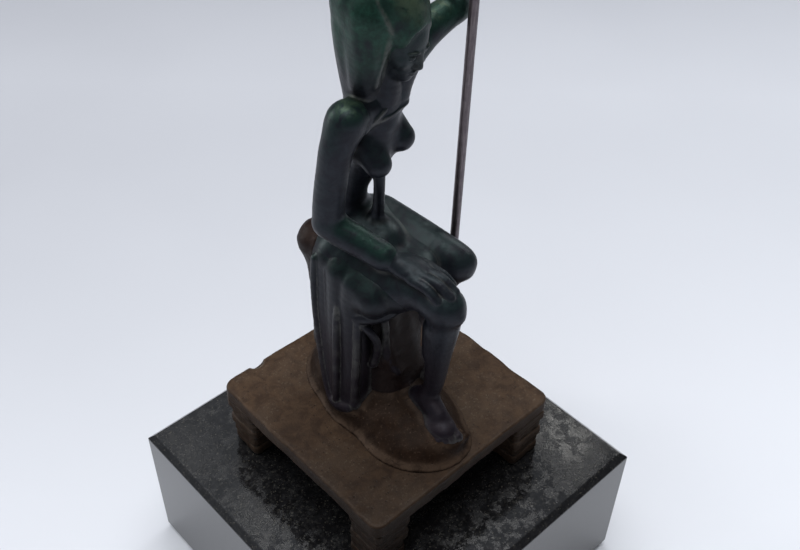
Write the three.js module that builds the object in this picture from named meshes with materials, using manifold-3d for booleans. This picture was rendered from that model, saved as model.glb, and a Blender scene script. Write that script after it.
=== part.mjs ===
// Cast bronze award statuette: a seated draped woman holding an upright staff,
// on a four-legged cast table plinth, on a polished stone block.
// Millimetres, +Z up. Origin: centre of the block's footprint, on the shelf.
// The figure faces -Y. Its own right side is towards -X.

import * as THREE from 'three';
import * as BufferGeometryUtils from 'three/addons/utils/BufferGeometryUtils.js';
import Module from 'manifold-3d';

const wasm = await Module();
wasm.setup();
const { Manifold, Mesh: SolidMesh } = wasm;

// ---------------------------------------------------------------- dimensions
const GAP = 0.3;                 // clearance between neighbouring pieces
const BLOCK_SIDE = 130;          // stone block, square in plan
const BLOCK_HEIGHT = 59;
const BLOCK_TOP_CHAMFER = 2.3;
const BLOCK_FOOT_CHAMFER = 0.8;
const PAD_THICKNESS = 1.5;       // felt pads under the block
const PAD_RADIUS = 6.5;
const PAD_OFFSET = 51;
const BLOCK_TOP = PAD_THICKNESS + BLOCK_HEIGHT;        // 60.5

const PLINTH_HEIGHT = 29;        // underside of the legs to the table top
const PLINTH_SIDE = 84.8;
const PLINTH_CENTRE = [0.6, 1.6];
const SLAB_THICKNESS = 6.3;
const SLAB_CORNER = 4.5;
const PLINTH_TOP = BLOCK_TOP + PLINTH_HEIGHT;          // 89.5
const SLAB_BOTTOM = PLINTH_TOP - SLAB_THICKNESS;       // 83.2
const LEG_SIDE = 15.5;           // layered corner legs
const LEG_INSET = 8.6;           // leg centre to slab edge
const LEG_LAYERS = 5;

const STAFF_RADIUS = 1.5;        // 3 mm rod
const STAFF_BASE = [29.25, 0.2, PLINTH_TOP];
const STAFF_LEAN = 0.0187;       // mm of +X per mm of height
const STAFF_LENGTH = 193;
const STAFF_START = 2.6;         // rod's lower end above the table top
const STAFF_BORE = 1.85;

const SCREW_RADIUS = 2.0;        // M4 screws up through the block
const SCREW_HOLE = 2.3;
const STUD_RADIUS = 2.0;         // M4 studs under the figure
const STUD_POS = [[-4.5, 19.5], [8.5, 14.5]];

// ---------------------------------------------------------------- solids
function toSolid(geometry, matrix) {
  const g = geometry.clone();
  for (const k of Object.keys(g.attributes)) if (k !== 'position') g.deleteAttribute(k);
  if (matrix) g.applyMatrix4(matrix);
  const m = BufferGeometryUtils.mergeVertices(g, 1e-4);
  const idx = m.index.array;
  const tris = [];
  for (let i = 0; i < idx.length; i += 3) {
    const a = idx[i], b = idx[i + 1], c = idx[i + 2];
    if (a !== b && b !== c && c !== a) tris.push(a, b, c);
  }
  const make = (t) => new Manifold(new SolidMesh({
    numProp: 3,
    vertProperties: new Float32Array(m.attributes.position.array),
    triVerts: new Uint32Array(t),
  }));
  let s = make(tris);
  if (s.volume() < 0) {
    const flipped = [];
    for (let i = 0; i < tris.length; i += 3) flipped.push(tris[i], tris[i + 2], tris[i + 1]);
    s = make(flipped);
  }
  return s;
}

function toGeometry(solid) {
  const mesh = solid.getMesh();
  const g = new THREE.BufferGeometry();
  const n = mesh.numProp;
  const pos = new Float32Array((mesh.vertProperties.length / n) * 3);
  for (let i = 0; i < pos.length / 3; i++) {
    for (let k = 0; k < 3; k++) pos[i * 3 + k] = mesh.vertProperties[i * n + k];
  }
  g.setAttribute('position', new THREE.BufferAttribute(pos, 3));
  g.setIndex(new THREE.BufferAttribute(new Uint32Array(mesh.triVerts), 1));
  g.computeVertexNormals();
  return g;
}

const union = (list) => list.reduce((a, b) => a.add(b));

// a boolean can leave a crumb behind: the piece is its largest part
function largest(solid) {
  const parts = solid.decompose();
  return parts.reduce((a, b) => (a.volume() > b.volume() ? a : b));
}

function at(x, y, z, rx = 0, ry = 0, rz = 0, s = [1, 1, 1]) {
  return new THREE.Matrix4().compose(
    new THREE.Vector3(x, y, z),
    new THREE.Quaternion().setFromEuler(new THREE.Euler(rx, ry, rz)),
    new THREE.Vector3(...s),
  );
}

// Two spheres joined by the cone tangent to both.
function roundCone(a, b, grow = 0, seg = Math.max(a[3], b[3]) > 6.5 ? 10 : 8, rings = 2) {
  const ra = a[3] + grow, rb = b[3] + grow;
  const A = new THREE.Vector3(a[0], a[1], a[2]);
  const B = new THREE.Vector3(b[0], b[1], b[2]);
  const d = A.distanceTo(B);
  const pts = [];
  if (d <= Math.abs(ra - rb) + 1e-3) {
    const big = ra > rb ? a : b;
    return ball([big[0], big[1], big[2]], [1, 1, 1].map(() => Math.max(ra, rb)));
  }
  const th = Math.asin((ra - rb) / d);
  for (let i = 0; i <= rings; i++) {
    const f = -Math.PI / 2 + (th + Math.PI / 2) * (i / rings);
    pts.push(new THREE.Vector2(i === 0 ? 0 : ra * Math.cos(f), ra * Math.sin(f)));
  }
  for (let i = 0; i <= rings; i++) {
    const f = th + (Math.PI / 2 - th) * (i / rings);
    pts.push(new THREE.Vector2(i === rings ? 0 : rb * Math.cos(f), d + rb * Math.sin(f)));
  }
  const g = new THREE.LatheGeometry(pts, seg);
  const q = new THREE.Quaternion().setFromUnitVectors(
    new THREE.Vector3(0, 1, 0), B.clone().sub(A).normalize());
  return toSolid(g, new THREE.Matrix4().compose(A, q, new THREE.Vector3(1, 1, 1)));
}

function ball(c, r, grow = 0, rot = [0, 0, 0], seg = 12, rings = 8) {
  const g = new THREE.SphereGeometry(1, seg, rings);
  return toSolid(g, at(c[0], c[1], c[2], rot[0], rot[1], rot[2],
    [r[0] + grow, r[1] + grow, r[2] + grow]));
}

// chains of [x, y, z, radius] plus ellipsoids {c, r, rot}
function body(spec, grow = 0) {
  const list = [];
  for (const item of spec) {
    if (Array.isArray(item)) {
      for (let i = 1; i < item.length; i++) list.push(roundCone(item[i - 1], item[i], grow));
    } else {
      list.push(ball(item.c, item.r, grow, item.rot || [0, 0, 0]));
    }
  }
  return union(list);
}

function rod(r, z0, z1, x = 0, y = 0, seg = 20) {
  const g = new THREE.CylinderGeometry(r, r, z1 - z0, seg);
  return toSolid(g, at(x, y, (z0 + z1) / 2, Math.PI / 2, 0, 0));
}

function box(x0, y0, z0, x1, y1, z1) {
  return toSolid(new THREE.BoxGeometry(x1 - x0, y1 - y0, z1 - z0),
    at((x0 + x1) / 2, (y0 + y1) / 2, (z0 + z1) / 2));
}

// turned profile [radius, height], spun about Z
function turned(profile, matrix, seg = 20) {
  const g = new THREE.LatheGeometry(profile.map((p) => new THREE.Vector2(p[0], p[1])), seg);
  const m = new THREE.Matrix4().makeRotationX(Math.PI / 2);
  return toSolid(g, matrix ? matrix.clone().multiply(m) : m);
}

// ---------------------------------------------------------------- the figure
// Limbs and trunk as chains of [x, y, z, radius].
const HEAD = [
  [[5.2, 9.0, 205.0, 4.5], [5.8, 7.2, 211.5, 4.1], [6.4, 6.2, 217.0, 4.2]],
  { c: [8.4, 3.4, 229.0], r: [7.3, 8.6, 9.6], rot: [0.10, 0, 0.18] },
  { c: [9.2, 0.4, 222.6], r: [5.0, 5.4, 5.6], rot: [0, 0, 0.18] },
];
const HAIR = [
  [[5.0, 12.6, 240.0, 11.4], [4.3, 13.6, 231.0, 10.6], [3.8, 14.6, 221.0, 9.4], [3.6, 15.0, 212.0, 7.2]],
  { c: [6.0, 8.5, 241.5], r: [10.6, 10.8, 9.0], rot: [0, 0, 0.18] },
  [[-1.6, 8.2, 233.0, 4.6], [-1.0, 9.0, 222.0, 4.2], [-0.6, 10.0, 213.5, 3.2]],
  [[13.4, 9.6, 234.0, 4.4], [12.2, 11.4, 223.0, 4.2], [10.4, 13.2, 214.0, 3.2]],
];
const TORSO = [
  [[4.0, 19.5, 153.0, 9.6], [3.4, 21.0, 161.0, 7.6], [3.2, 21.0, 169.0, 6.4],
    [4.0, 17.6, 180.0, 6.8], [5.0, 13.6, 190.0, 7.4], [5.2, 10.8, 200.0, 6.8]],
  [[-8.4, 9.4, 205.6, 5.0], [1.0, 10.0, 206.0, 5.6], [9.2, 9.6, 206.2, 4.6]],
  [[9.4, 12.0, 196.0, 5.2], [10.4, 7.8, 192.6, 4.7]],
  [[0.4, 11.0, 193.0, 5.2], [-0.5, 6.4, 188.9, 4.4]],
  [[4.3, 8.8, 183.0, 1.9], [4.1, 9.6, 176.0, 1.7], [4.4, 10.0, 163.0, 1.9]],
];
const RIGHT_ARM = [
  [[-10.5, 7.8, 208.0, 5.0], [-14.2, 10.6, 191.0, 4.8], [-15.0, 11.4, 171.0, 5.0]],
  [[-15.0, 11.2, 170.5, 5.0], [-10.0, 3.0, 166.0, 4.6], [-5.4, -4.8, 161.2, 3.7]],
];
const RIGHT_HAND = [
  [[-4.5, -6.4, 160.4, 3.1], [-1.2, -13.0, 158.4, 3.7], [0.8, -19.0, 156.2, 3.2], [2.2, -23.6, 153.4, 2.2]],
];
const LEFT_ARM = [
  [[10.4, 10.4, 210.5, 4.6], [15.0, 9.2, 219.6, 4.3], [19.5, 8.3, 223.8, 4.4], [31.2, 8.2, 229.6, 4.2]],
  [[31.2, 8.2, 229.6, 4.1], [31.9, 7.2, 239.0, 3.6], [32.1, 6.2, 245.6, 3.0]],
];
const LEFT_HAND = [
  { c: [32.2, 0.9, 251.4], r: [4.6, 5.0, 4.9] },
  [[32.1, 5.0, 247.6, 3.0], [32.2, 3.0, 250.6, 3.6]],
];
const RIGHT_LEG = [
  [[-5.5, 16.0, 152.5, 8.2], [-3.0, 2.0, 150.4, 7.3], [0.5, -17.0, 150.6, 6.2], [1.8, -24.6, 150.2, 5.7]],
  [[1.8, -24.6, 150.2, 5.7], [2.0, -23.5, 140.0, 4.9], [2.3, -21.3, 128.0, 4.6], [2.8, -20.3, 112.0, 3.3]],
  [[2.8, -20.3, 112.0, 3.3], [2.4, -17.6, 103.8, 3.6]],
  [[2.4, -15.6, 103.4, 3.3], [3.0, -20.5, 103.4, 3.6], [2.4, -26.0, 98.8, 3.1], [1.8, -30.6, 95.6, 2.3]],
];
const LEFT_LEG = [
  [[13.0, 18.0, 153.0, 8.2], [16.5, 4.0, 150.8, 7.5], [20.0, -6.0, 147.8, 6.9], [21.4, -9.5, 146.5, 6.5]],
  [[21.3, -8.8, 146.3, 6.2], [17.2, -3.0, 133.0, 5.2], [12.8, 2.0, 119.0, 4.4], [11.0, 3.0, 106.0, 3.4]],
  [[11.0, 4.0, 103.2, 3.4], [12.2, -3.0, 101.4, 3.3], [12.6, -9.0, 98.6, 2.6]],
];
const DRAPE = [
  [[-10.6, 2.0, 147.0, 3.2], [-12.0, 1.8, 120.0, 3.2], [-12.6, 2.4, 95.0, 3.4]],
  [[-13.8, 6.0, 149.0, 4.0], [-15.6, 6.0, 120.0, 4.0], [-17.0, 6.2, 96.5, 4.2]],
  [[-13.6, 12.0, 151.0, 5.0], [-15.0, 12.0, 122.0, 4.6], [-16.2, 12.2, 98.5, 4.6]],
  [[-11.8, 18.4, 150.0, 5.2], [-12.4, 18.6, 124.0, 4.6], [-13.4, 18.4, 101.5, 4.2]],
  [[-7.5, 12.0, 148.0, 6.5], [-8.5, 11.5, 122.0, 7.4], [-9.0, 11.0, 101.0, 7.6]],
];
const SEAT = [
  [[-4.0, 27.0, 145.5, 7.4], [-2.5, 25.0, 102.0, 9.5]],
  [[6.0, 24.0, 144.5, 8.2], [8.0, 20.0, 102.0, 11.5]],
  [[9.0, 13.0, 138.0, 7.0], [9.0, 11.5, 102.0, 8.6]],
  [[0.0, 10.0, 140.0, 6.6], [0.0, 8.0, 102.0, 8.0]],
];
const MOUND = [
  { c: [-2.0, 6.0, 89.0], r: [20.0, 30.0, 9.5] },
  { c: [0.0, -15.0, 89.5], r: [14.6, 18.6, 8.6] },
  { c: [2.0, 16.0, 90.0], r: [20.5, 20.0, 13.5] },
  { c: [2.0, -26.0, 89.4], r: [8.4, 9.6, 4.6] },
];

const G = GAP + 0.06;
const hairCut = body(HEAD, G);

const sRightHand = body(RIGHT_HAND);
const staffMatrix = new THREE.Matrix4().compose(
  new THREE.Vector3(...STAFF_BASE),
  new THREE.Quaternion().setFromUnitVectors(new THREE.Vector3(0, 0, 1),
    new THREE.Vector3(STAFF_LEAN, 0, 1).normalize()),
  new THREE.Vector3(1, 1, 1));
const staffHole = turned([[0, 100], [STAFF_BORE, 100], [STAFF_BORE, 190], [0, 190]], staffMatrix, 16);
const sLeftHand = largest(body(LEFT_HAND).subtract(staffHole));
const sLeftArm = largest(body(LEFT_ARM).subtract(body(LEFT_HAND, G)).subtract(hairCut));
const sRightArm = largest(body(RIGHT_ARM).subtract(body(RIGHT_HAND, G)));
const sHead = body(HEAD);
const sHair = largest(body(HAIR).subtract(hairCut).subtract(body(LEFT_ARM, G)).subtract(body(RIGHT_ARM, G)));
const sTorso = largest(body(TORSO)
  .subtract(hairCut).subtract(body(HAIR, G))
  .subtract(body(LEFT_ARM, G)).subtract(body(RIGHT_ARM, G)));
const torsoGrown = body(TORSO, G);
const armGrown = body(RIGHT_ARM, G).add(body(RIGHT_HAND, G));
const sRightLeg = largest(body(RIGHT_LEG).subtract(torsoGrown).subtract(armGrown));
const rightLegGrown = body(RIGHT_LEG, G);
const sLeftLeg = largest(body(LEFT_LEG).subtract(torsoGrown).subtract(armGrown).subtract(rightLegGrown));
const legsGrown = rightLegGrown.add(body(LEFT_LEG, G));
const figureGrown = torsoGrown.add(armGrown).add(legsGrown);
const sDrape = largest(body(DRAPE).subtract(figureGrown));
const drapeGrown = body(DRAPE, G);
const seatFloor = PLINTH_TOP + 11.5;
const sSeatRaw = body(SEAT).subtract(figureGrown).subtract(drapeGrown)
  .subtract(box(-60, -60, 60, 60, 60, seatFloor));
const studHoles = union(STUD_POS.map(([x, y]) => rod(STUD_RADIUS + GAP, 60, PLINTH_TOP + 19.5, x, y)));
const sSeat = largest(sSeatRaw.subtract(studHoles));
const sMound = largest(body(MOUND)
  .subtract(box(-60, -60, 60, 60, 60, PLINTH_TOP + GAP))
  .subtract(box(-60, -60, seatFloor - GAP, 60, 60, 130))
  .subtract(drapeGrown).subtract(legsGrown).subtract(studHoles));

// ---------------------------------------------------------------- the staff
const sStaff = turned([[0, STAFF_START], [STAFF_RADIUS - 0.3, STAFF_START],
  [STAFF_RADIUS, STAFF_START + 0.3], [STAFF_RADIUS, STAFF_LENGTH], [0, STAFF_LENGTH]], null, 16);
const sFinial = turned([
  [STAFF_RADIUS + GAP, STAFF_LENGTH - 6], [2.4, STAFF_LENGTH - 6], [2.4, STAFF_LENGTH - 4.6],
  [2.0, STAFF_LENGTH - 3.9], [2.9, STAFF_LENGTH - 1.6], [3.1, STAFF_LENGTH + 0.6],
  [2.6, STAFF_LENGTH + 2.6], [1.4, STAFF_LENGTH + 4.1], [0, STAFF_LENGTH + 4.6],
  [0, STAFF_LENGTH + GAP], [STAFF_RADIUS + GAP, STAFF_LENGTH + GAP],
  [STAFF_RADIUS + GAP, STAFF_LENGTH - 6]], null, 14);
const sSocket = turned([
  [0, -SLAB_THICKNESS - 4.2], [1.5, -SLAB_THICKNESS - 4.2], [1.5, GAP + 0.05], [2.9, GAP + 0.05],
  [2.9, 1.2], [2.7, 1.6], [2.7, 6.2], [2.5, 6.6], [STAFF_BORE, 6.6],
  [STAFF_BORE, STAFF_START - GAP], [0, STAFF_START - GAP]], null, 14);
const sSocketNut = toSolid(new THREE.CylinderGeometry(3.0, 3.0, 2.4, 6), at(0, 0, 0, Math.PI / 2, 0, 0))
  .subtract(rod(1.5 + GAP, -3, 3));

// ---------------------------------------------------------------- the plinth
function roundedSquare(side, r, jitter = 0) {
  const h = side / 2, s = new THREE.Shape();
  s.moveTo(-h + r, -h);
  s.lineTo(h - r, -h + jitter);
  s.absarc(h - r, -h + r, r, -Math.PI / 2, 0, false);
  s.lineTo(h, h - r);
  s.absarc(h - r, h - r, r, 0, Math.PI / 2, false);
  s.lineTo(-h + r, h);
  s.absarc(-h + r, h - r, r, Math.PI / 2, Math.PI, false);
  s.lineTo(-h, -h + r);
  s.absarc(-h + r, -h + r, r, Math.PI, Math.PI * 1.5, false);
  return s;
}
function plate(side, r, z0, z1, bevel, cx, cy, rot = 0, fine = 2) {
  const g = new THREE.ExtrudeGeometry(roundedSquare(side - 2 * bevel, Math.max(r - bevel, 0.4)), {
    depth: z1 - z0 - 2 * bevel, bevelEnabled: true, bevelThickness: bevel, bevelSize: bevel,
    bevelSegments: fine > 2 ? 2 : 1, curveSegments: fine, steps: 1,
  });
  return toSolid(g, at(cx, cy, z0 + bevel, 0, 0, rot));
}
const [PX, PY] = PLINTH_CENTRE;
const slabHoles = union([
  ...STUD_POS.map(([x, y]) => rod(STUD_RADIUS + GAP, SLAB_BOTTOM - 2, PLINTH_TOP + 2, x, y)),
  rod(1.5 + GAP + 0.15, SLAB_BOTTOM - 2, PLINTH_TOP + 2, STAFF_BASE[0] - 0.06, STAFF_BASE[1]),
]);
const edgeNick = ball([-26, 44.2, PLINTH_TOP - 0.4], [2.6, 2.4, 2.2], 0, [0, 0, 0.2], 10, 6);
const sSlab = plate(PLINTH_SIDE, SLAB_CORNER, SLAB_BOTTOM, PLINTH_TOP, 1.1, PX, PY, 0, 4)
  .subtract(slabHoles).subtract(edgeNick);

const legSpread = PLINTH_SIDE / 2 - LEG_INSET;
const LEGS = [
  ['plinth_leg_front_left', -1, -1], ['plinth_leg_front_right', 1, -1],
  ['plinth_leg_back_left', -1, 1], ['plinth_leg_back_right', 1, 1],
];
const legLayer = [0.0, -0.55, -0.2, -0.9, -0.7];   // each layer's step in, per side
function legSolid(cx, cy, k) {
  const z0 = BLOCK_TOP + GAP, z1 = SLAB_BOTTOM - GAP;
  const t = (z1 - z0) / LEG_LAYERS;
  const e = 0.6;
  const p = [[0, z0]];
  for (let i = LEG_LAYERS - 1; i >= 0; i--) {
    const h = LEG_SIDE / 2 + legLayer[(i + k) % 5] - 0.14 * i;
    const bottom = z1 - (i + 1) * t, top = z1 - i * t;
    p.push([h - e, bottom], [h, bottom + e], [h, top - e], [h - e, top]);
  }
  p.push([0, z1]);
  const q = p.filter((v, i) => i === 0 || Math.hypot(v[0] - p[i - 1][0], v[1] - p[i - 1][1]) > 0.05);
  const g = new THREE.LatheGeometry(q.map(([x, y]) => new THREE.Vector2(x * Math.SQRT2, y)), 4);
  return toSolid(g, at(cx, cy, 0, Math.PI / 2, Math.PI / 4, 0))
    .subtract(rod(SCREW_HOLE, z0 - 2, z0 + 11.5, cx, cy, 12));
}

// ---------------------------------------------------------------- the block
const r2 = Math.SQRT2, bh = BLOCK_SIDE / 2;
let sBlock = toSolid(new THREE.LatheGeometry([
  [0, 0], [bh - BLOCK_FOOT_CHAMFER, 0], [bh, BLOCK_FOOT_CHAMFER], [bh, BLOCK_HEIGHT - BLOCK_TOP_CHAMFER],
  [bh - BLOCK_TOP_CHAMFER, BLOCK_HEIGHT], [0, BLOCK_HEIGHT],
].map(([x, y]) => new THREE.Vector2(x * r2, y)), 4), at(0, 0, PAD_THICKNESS, Math.PI / 2, Math.PI / 4, 0));
for (const [, sx, sy] of LEGS) {
  const x = PX + sx * legSpread, y = PY + sy * legSpread;
  sBlock = sBlock.subtract(rod(SCREW_HOLE, 0, BLOCK_TOP + 1, x, y, 12))
    .subtract(rod(4.9, 0, PAD_THICKNESS + 7.0, x, y, 16));
}

function screwSolid() {
  const top = BLOCK_TOP + GAP + 10.5;
  const head = rod(3.5, PAD_THICKNESS + 2.0, PAD_THICKNESS + 5.4, 0, 0, 14);
  const shank = rod(SCREW_RADIUS, PAD_THICKNESS + 5.0, top, 0, 0, 12);
  const socket = toSolid(new THREE.CylinderGeometry(1.7, 1.7, 2.2, 6),
    at(0, 0, PAD_THICKNESS + 2.0, Math.PI / 2, 0, 0));
  return head.add(shank).subtract(socket);
}
function washerSolid(ri, ro, z0, z1) {
  return turned([[ri, z0], [ro, z0], [ro, z1], [ri, z1], [ri, z0]], null, 14);
}

// ---------------------------------------------------------------- materials
const mat = (color, roughness, metalness) => new THREE.MeshStandardMaterial({ color, roughness, metalness });
const BRONZE_DARK = mat(0x1f2a2c, 0.42, 0.85);
const BRONZE_GREEN = mat(0x23413a, 0.45, 0.8);
const BRONZE_BROWN = mat(0x4a3222, 0.55, 0.7);
const STAFF_METAL = mat(0x5d4a4e, 0.4, 0.85);
const STONE = mat(0x141517, 0.12, 0.0);
const FELT = mat(0x1b3a26, 0.95, 0.0);
const STEEL = mat(0x9a9c9e, 0.35, 1.0);
const BRASS = mat(0x8a6d3c, 0.35, 1.0);

const group = new THREE.Group();
function put(name, solid, material, pos, parent = group) {
  const mesh = new THREE.Mesh(toGeometry(solid), material.clone());
  mesh.name = name;
  if (pos) mesh.position.set(...pos);
  parent.add(mesh);
  return mesh;
}

put('granite_block', sBlock, STONE);
let n = 1;
for (const [sx, sy] of [[-1, -1], [1, -1], [-1, 1], [1, 1]]) {
  put('felt_pad_' + n++, rod(PAD_RADIUS, 0, PAD_THICKNESS - GAP, 0, 0, 18), FELT,
    [sx * PAD_OFFSET, sy * PAD_OFFSET, 0]);
}
n = 1;
for (const [, sx, sy] of LEGS) {
  const p = [PX + sx * legSpread, PY + sy * legSpread, 0];
  put('block_screw_' + n, screwSolid(), STEEL, p);
  put('block_screw_washer_' + n, washerSolid(SCREW_RADIUS + GAP, 4.4, PAD_THICKNESS + 5.7, PAD_THICKNESS + 6.7), STEEL, p);
  n++;
}
let k = 0;
for (const [name, sx, sy] of LEGS) put(name, legSolid(PX + sx * legSpread, PY + sy * legSpread, k++), BRONZE_BROWN);
put('plinth_slab', sSlab, BRONZE_BROWN);

n = 1;
for (const [x, y] of STUD_POS) {
  put('figure_stud_' + n, rod(STUD_RADIUS, SLAB_BOTTOM - 6.5, PLINTH_TOP + 19.0, 0, 0, 16), STEEL, [x, y, 0]);
  put('figure_stud_washer_' + n, washerSolid(STUD_RADIUS + GAP, 5.0, SLAB_BOTTOM - GAP - 1.0, SLAB_BOTTOM - GAP), STEEL, [x, y, 0]);
  const nut = toSolid(new THREE.CylinderGeometry(4.0, 4.0, 3.2, 6), at(0, 0, SLAB_BOTTOM - 2 * GAP - 2.6, Math.PI / 2, 0, 0))
    .subtract(rod(STUD_RADIUS + GAP, SLAB_BOTTOM - 8, SLAB_BOTTOM + 2));
  put('figure_stud_nut_' + n, nut, STEEL, [x, y, 0]);
  n++;
}

put('rock_base', sMound, BRONZE_BROWN);
put('rock_seat', sSeat, BRONZE_BROWN);
put('skirt_drape', sDrape, BRONZE_GREEN);
put('right_leg', sRightLeg, BRONZE_DARK);
put('left_leg', sLeftLeg, BRONZE_DARK);
put('torso', sTorso, BRONZE_DARK);
put('right_arm', sRightArm, BRONZE_GREEN);
put('right_hand', sRightHand, BRONZE_DARK);
put('left_arm', sLeftArm, BRONZE_GREEN);
put('left_hand', sLeftHand, BRONZE_DARK);
put('head', sHead, BRONZE_DARK);
put('hair', sHair, BRONZE_GREEN);

// staff and socket share one leaning frame
const lean = new THREE.Group();
lean.position.set(...STAFF_BASE);
lean.quaternion.setFromUnitVectors(new THREE.Vector3(0, 0, 1), new THREE.Vector3(STAFF_LEAN, 0, 1).normalize());
group.add(lean);
put('staff_socket', sSocket, BRASS, null, lean);
put('staff_socket_nut', sSocketNut, BRASS, [0, 0, -SLAB_THICKNESS - GAP - 1.25], lean);
put('staff', sStaff, STAFF_METAL, null, lean);
put('staff_finial', sFinial, STAFF_METAL, null, lean);

export default group;
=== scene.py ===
import math

import bmesh
import bpy
import numpy as np
from mathutils import Matrix, Vector


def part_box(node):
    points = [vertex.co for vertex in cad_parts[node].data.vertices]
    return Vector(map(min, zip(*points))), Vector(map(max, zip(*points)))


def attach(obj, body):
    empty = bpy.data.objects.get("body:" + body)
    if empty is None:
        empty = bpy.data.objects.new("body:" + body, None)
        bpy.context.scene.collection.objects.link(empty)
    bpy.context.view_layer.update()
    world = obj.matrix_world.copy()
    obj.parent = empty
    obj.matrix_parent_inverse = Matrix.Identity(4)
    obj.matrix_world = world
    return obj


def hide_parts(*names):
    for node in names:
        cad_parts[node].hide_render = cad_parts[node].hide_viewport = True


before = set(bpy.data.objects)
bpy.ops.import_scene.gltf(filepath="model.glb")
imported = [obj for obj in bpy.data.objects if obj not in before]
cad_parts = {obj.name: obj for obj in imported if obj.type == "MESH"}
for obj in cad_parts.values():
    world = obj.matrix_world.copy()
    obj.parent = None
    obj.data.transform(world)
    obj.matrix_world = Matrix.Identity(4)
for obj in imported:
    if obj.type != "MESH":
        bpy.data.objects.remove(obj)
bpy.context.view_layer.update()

MM = 0.001
PLINTH_TOP, SLAB_BOTTOM, BLOCK_TOP = 89.5, 83.2, 60.5
PX, PY = 0.6, 1.6
STUDS = [(-4.5, 19.5), (8.5, 14.5)]

# ---------------------------------------------------------------- forms
# The cast figure is modelled as distance fields, in millimetres, and each piece is meshed from its own share of them.
BIG = 40.0
REACH = 6.0
STEP = 0.48
SEAM = 0.12


def noise(p, size, seed):
    """Smooth lattice noise from -1 to 1 at the points p."""
    q = p / size
    cell = np.floor(q).astype(np.int64)
    f = q - cell
    f = f * f * (3 - 2 * f)
    total = np.zeros(len(p))
    for dx in (0, 1):
        for dy in (0, 1):
            for dz in (0, 1):
                n = (
                    (cell[:, 0] + dx) * 374761393
                    + (cell[:, 1] + dy) * 668265263
                    + (cell[:, 2] + dz) * 2246822519
                    + seed * 3266489917
                ) & 0xFFFFFFFF
                n = ((n ^ (n >> 15)) * 2246822519) & 0xFFFFFFFF
                n = ((n ^ (n >> 13)) * 3266489917) & 0xFFFFFFFF
                n = n ^ (n >> 16)
                wx = f[:, 0] if dx else 1 - f[:, 0]
                wy = f[:, 1] if dy else 1 - f[:, 1]
                wz = f[:, 2] if dz else 1 - f[:, 2]
                total += wx * wy * wz * (n / 2147483647.5 - 1)
    return total


def layered(p, size, seed, octaves=3, gain=0.5):
    total, weight, amount = np.zeros(len(p)), 0.0, 1.0
    for i in range(octaves):
        total += amount * noise(p, size / 2**i, seed + 17 * i)
        weight += amount
        amount *= gain
    return total / weight


def smin(a, b, k):
    if k <= 0:
        return np.minimum(a, b)
    h = np.maximum(k - np.abs(a - b), 0) / k
    return np.minimum(a, b) - h * h * (k * 0.25)


def smax(a, b, k):
    return -smin(-a, -b, k)


class Cone:
    """A round bar from a to b whose radius runs from ra to rb. flat = (direction, share) thins it along direction."""

    def __init__(self, a, b, k=None, cut=False, flat=None):
        self.a, self.b = np.array(a[:3], float), np.array(b[:3], float)
        self.ra, self.rb = a[3], b[3]
        r = max(self.ra, self.rb)
        self.lo, self.hi = np.minimum(self.a, self.b) - r, np.maximum(self.a, self.b) + r
        self.k, self.cut = k, cut
        self.flat = None
        if flat is not None:
            d = np.array(flat[0], float)
            self.flat = (d / np.linalg.norm(d), flat[1])

    def at(self, x, y, z):
        d = self.b - self.a
        n = max(float(d @ d), 1e-9)
        px, py, pz = x - self.a[0], y - self.a[1], z - self.a[2]
        t = np.clip((px * d[0] + py * d[1] + pz * d[2]) / n, 0, 1)
        qx, qy, qz = px - t * d[0], py - t * d[1], pz - t * d[2]
        s = qx * qx + qy * qy + qz * qz
        if self.flat is not None:
            u, share = self.flat
            w = qx * u[0] + qy * u[1] + qz * u[2]
            s = s + w * w * (1 / share**2 - 1)
            return (np.sqrt(s) - (self.ra + t * (self.rb - self.ra))) * (0.5 + 0.5 * share)
        return np.sqrt(s) - (self.ra + t * (self.rb - self.ra))


def turn(rx, ry, rz):
    cx, sx, cy, sy, cz, sz = (
        math.cos(rx), math.sin(rx), math.cos(ry), math.sin(ry), math.cos(rz), math.sin(rz),
    )
    mx = np.array([[1, 0, 0], [0, cx, -sx], [0, sx, cx]])
    my = np.array([[cy, 0, sy], [0, 1, 0], [-sy, 0, cy]])
    mz = np.array([[cz, -sz, 0], [sz, cz, 0], [0, 0, 1]])
    return mx @ my @ mz


class Egg:
    """An ellipsoid."""

    def __init__(self, c, r, rot=None, k=None, cut=False):
        self.c, self.r = np.array(c, float), np.array(r, float)
        self.m = np.eye(3) if rot is None else (np.array(rot) if np.ndim(rot) == 2 else turn(*rot))
        big = self.r.max()
        self.lo, self.hi = self.c - big, self.c + big
        self.k, self.cut = k, cut

    def at(self, x, y, z):
        px, py, pz = x - self.c[0], y - self.c[1], z - self.c[2]
        m, r = self.m, self.r
        u = (px * m[0, 0] + py * m[1, 0] + pz * m[2, 0]) / r[0]
        v = (px * m[0, 1] + py * m[1, 1] + pz * m[2, 1]) / r[1]
        w = (px * m[0, 2] + py * m[1, 2] + pz * m[2, 2]) / r[2]
        k0 = np.sqrt(u * u + v * v + w * w)
        k1 = np.sqrt((u / r[0]) ** 2 + (v / r[1]) ** 2 + (w / r[2]) ** 2) + 1e-6
        return k0 * (k0 - 1) / k1


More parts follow.
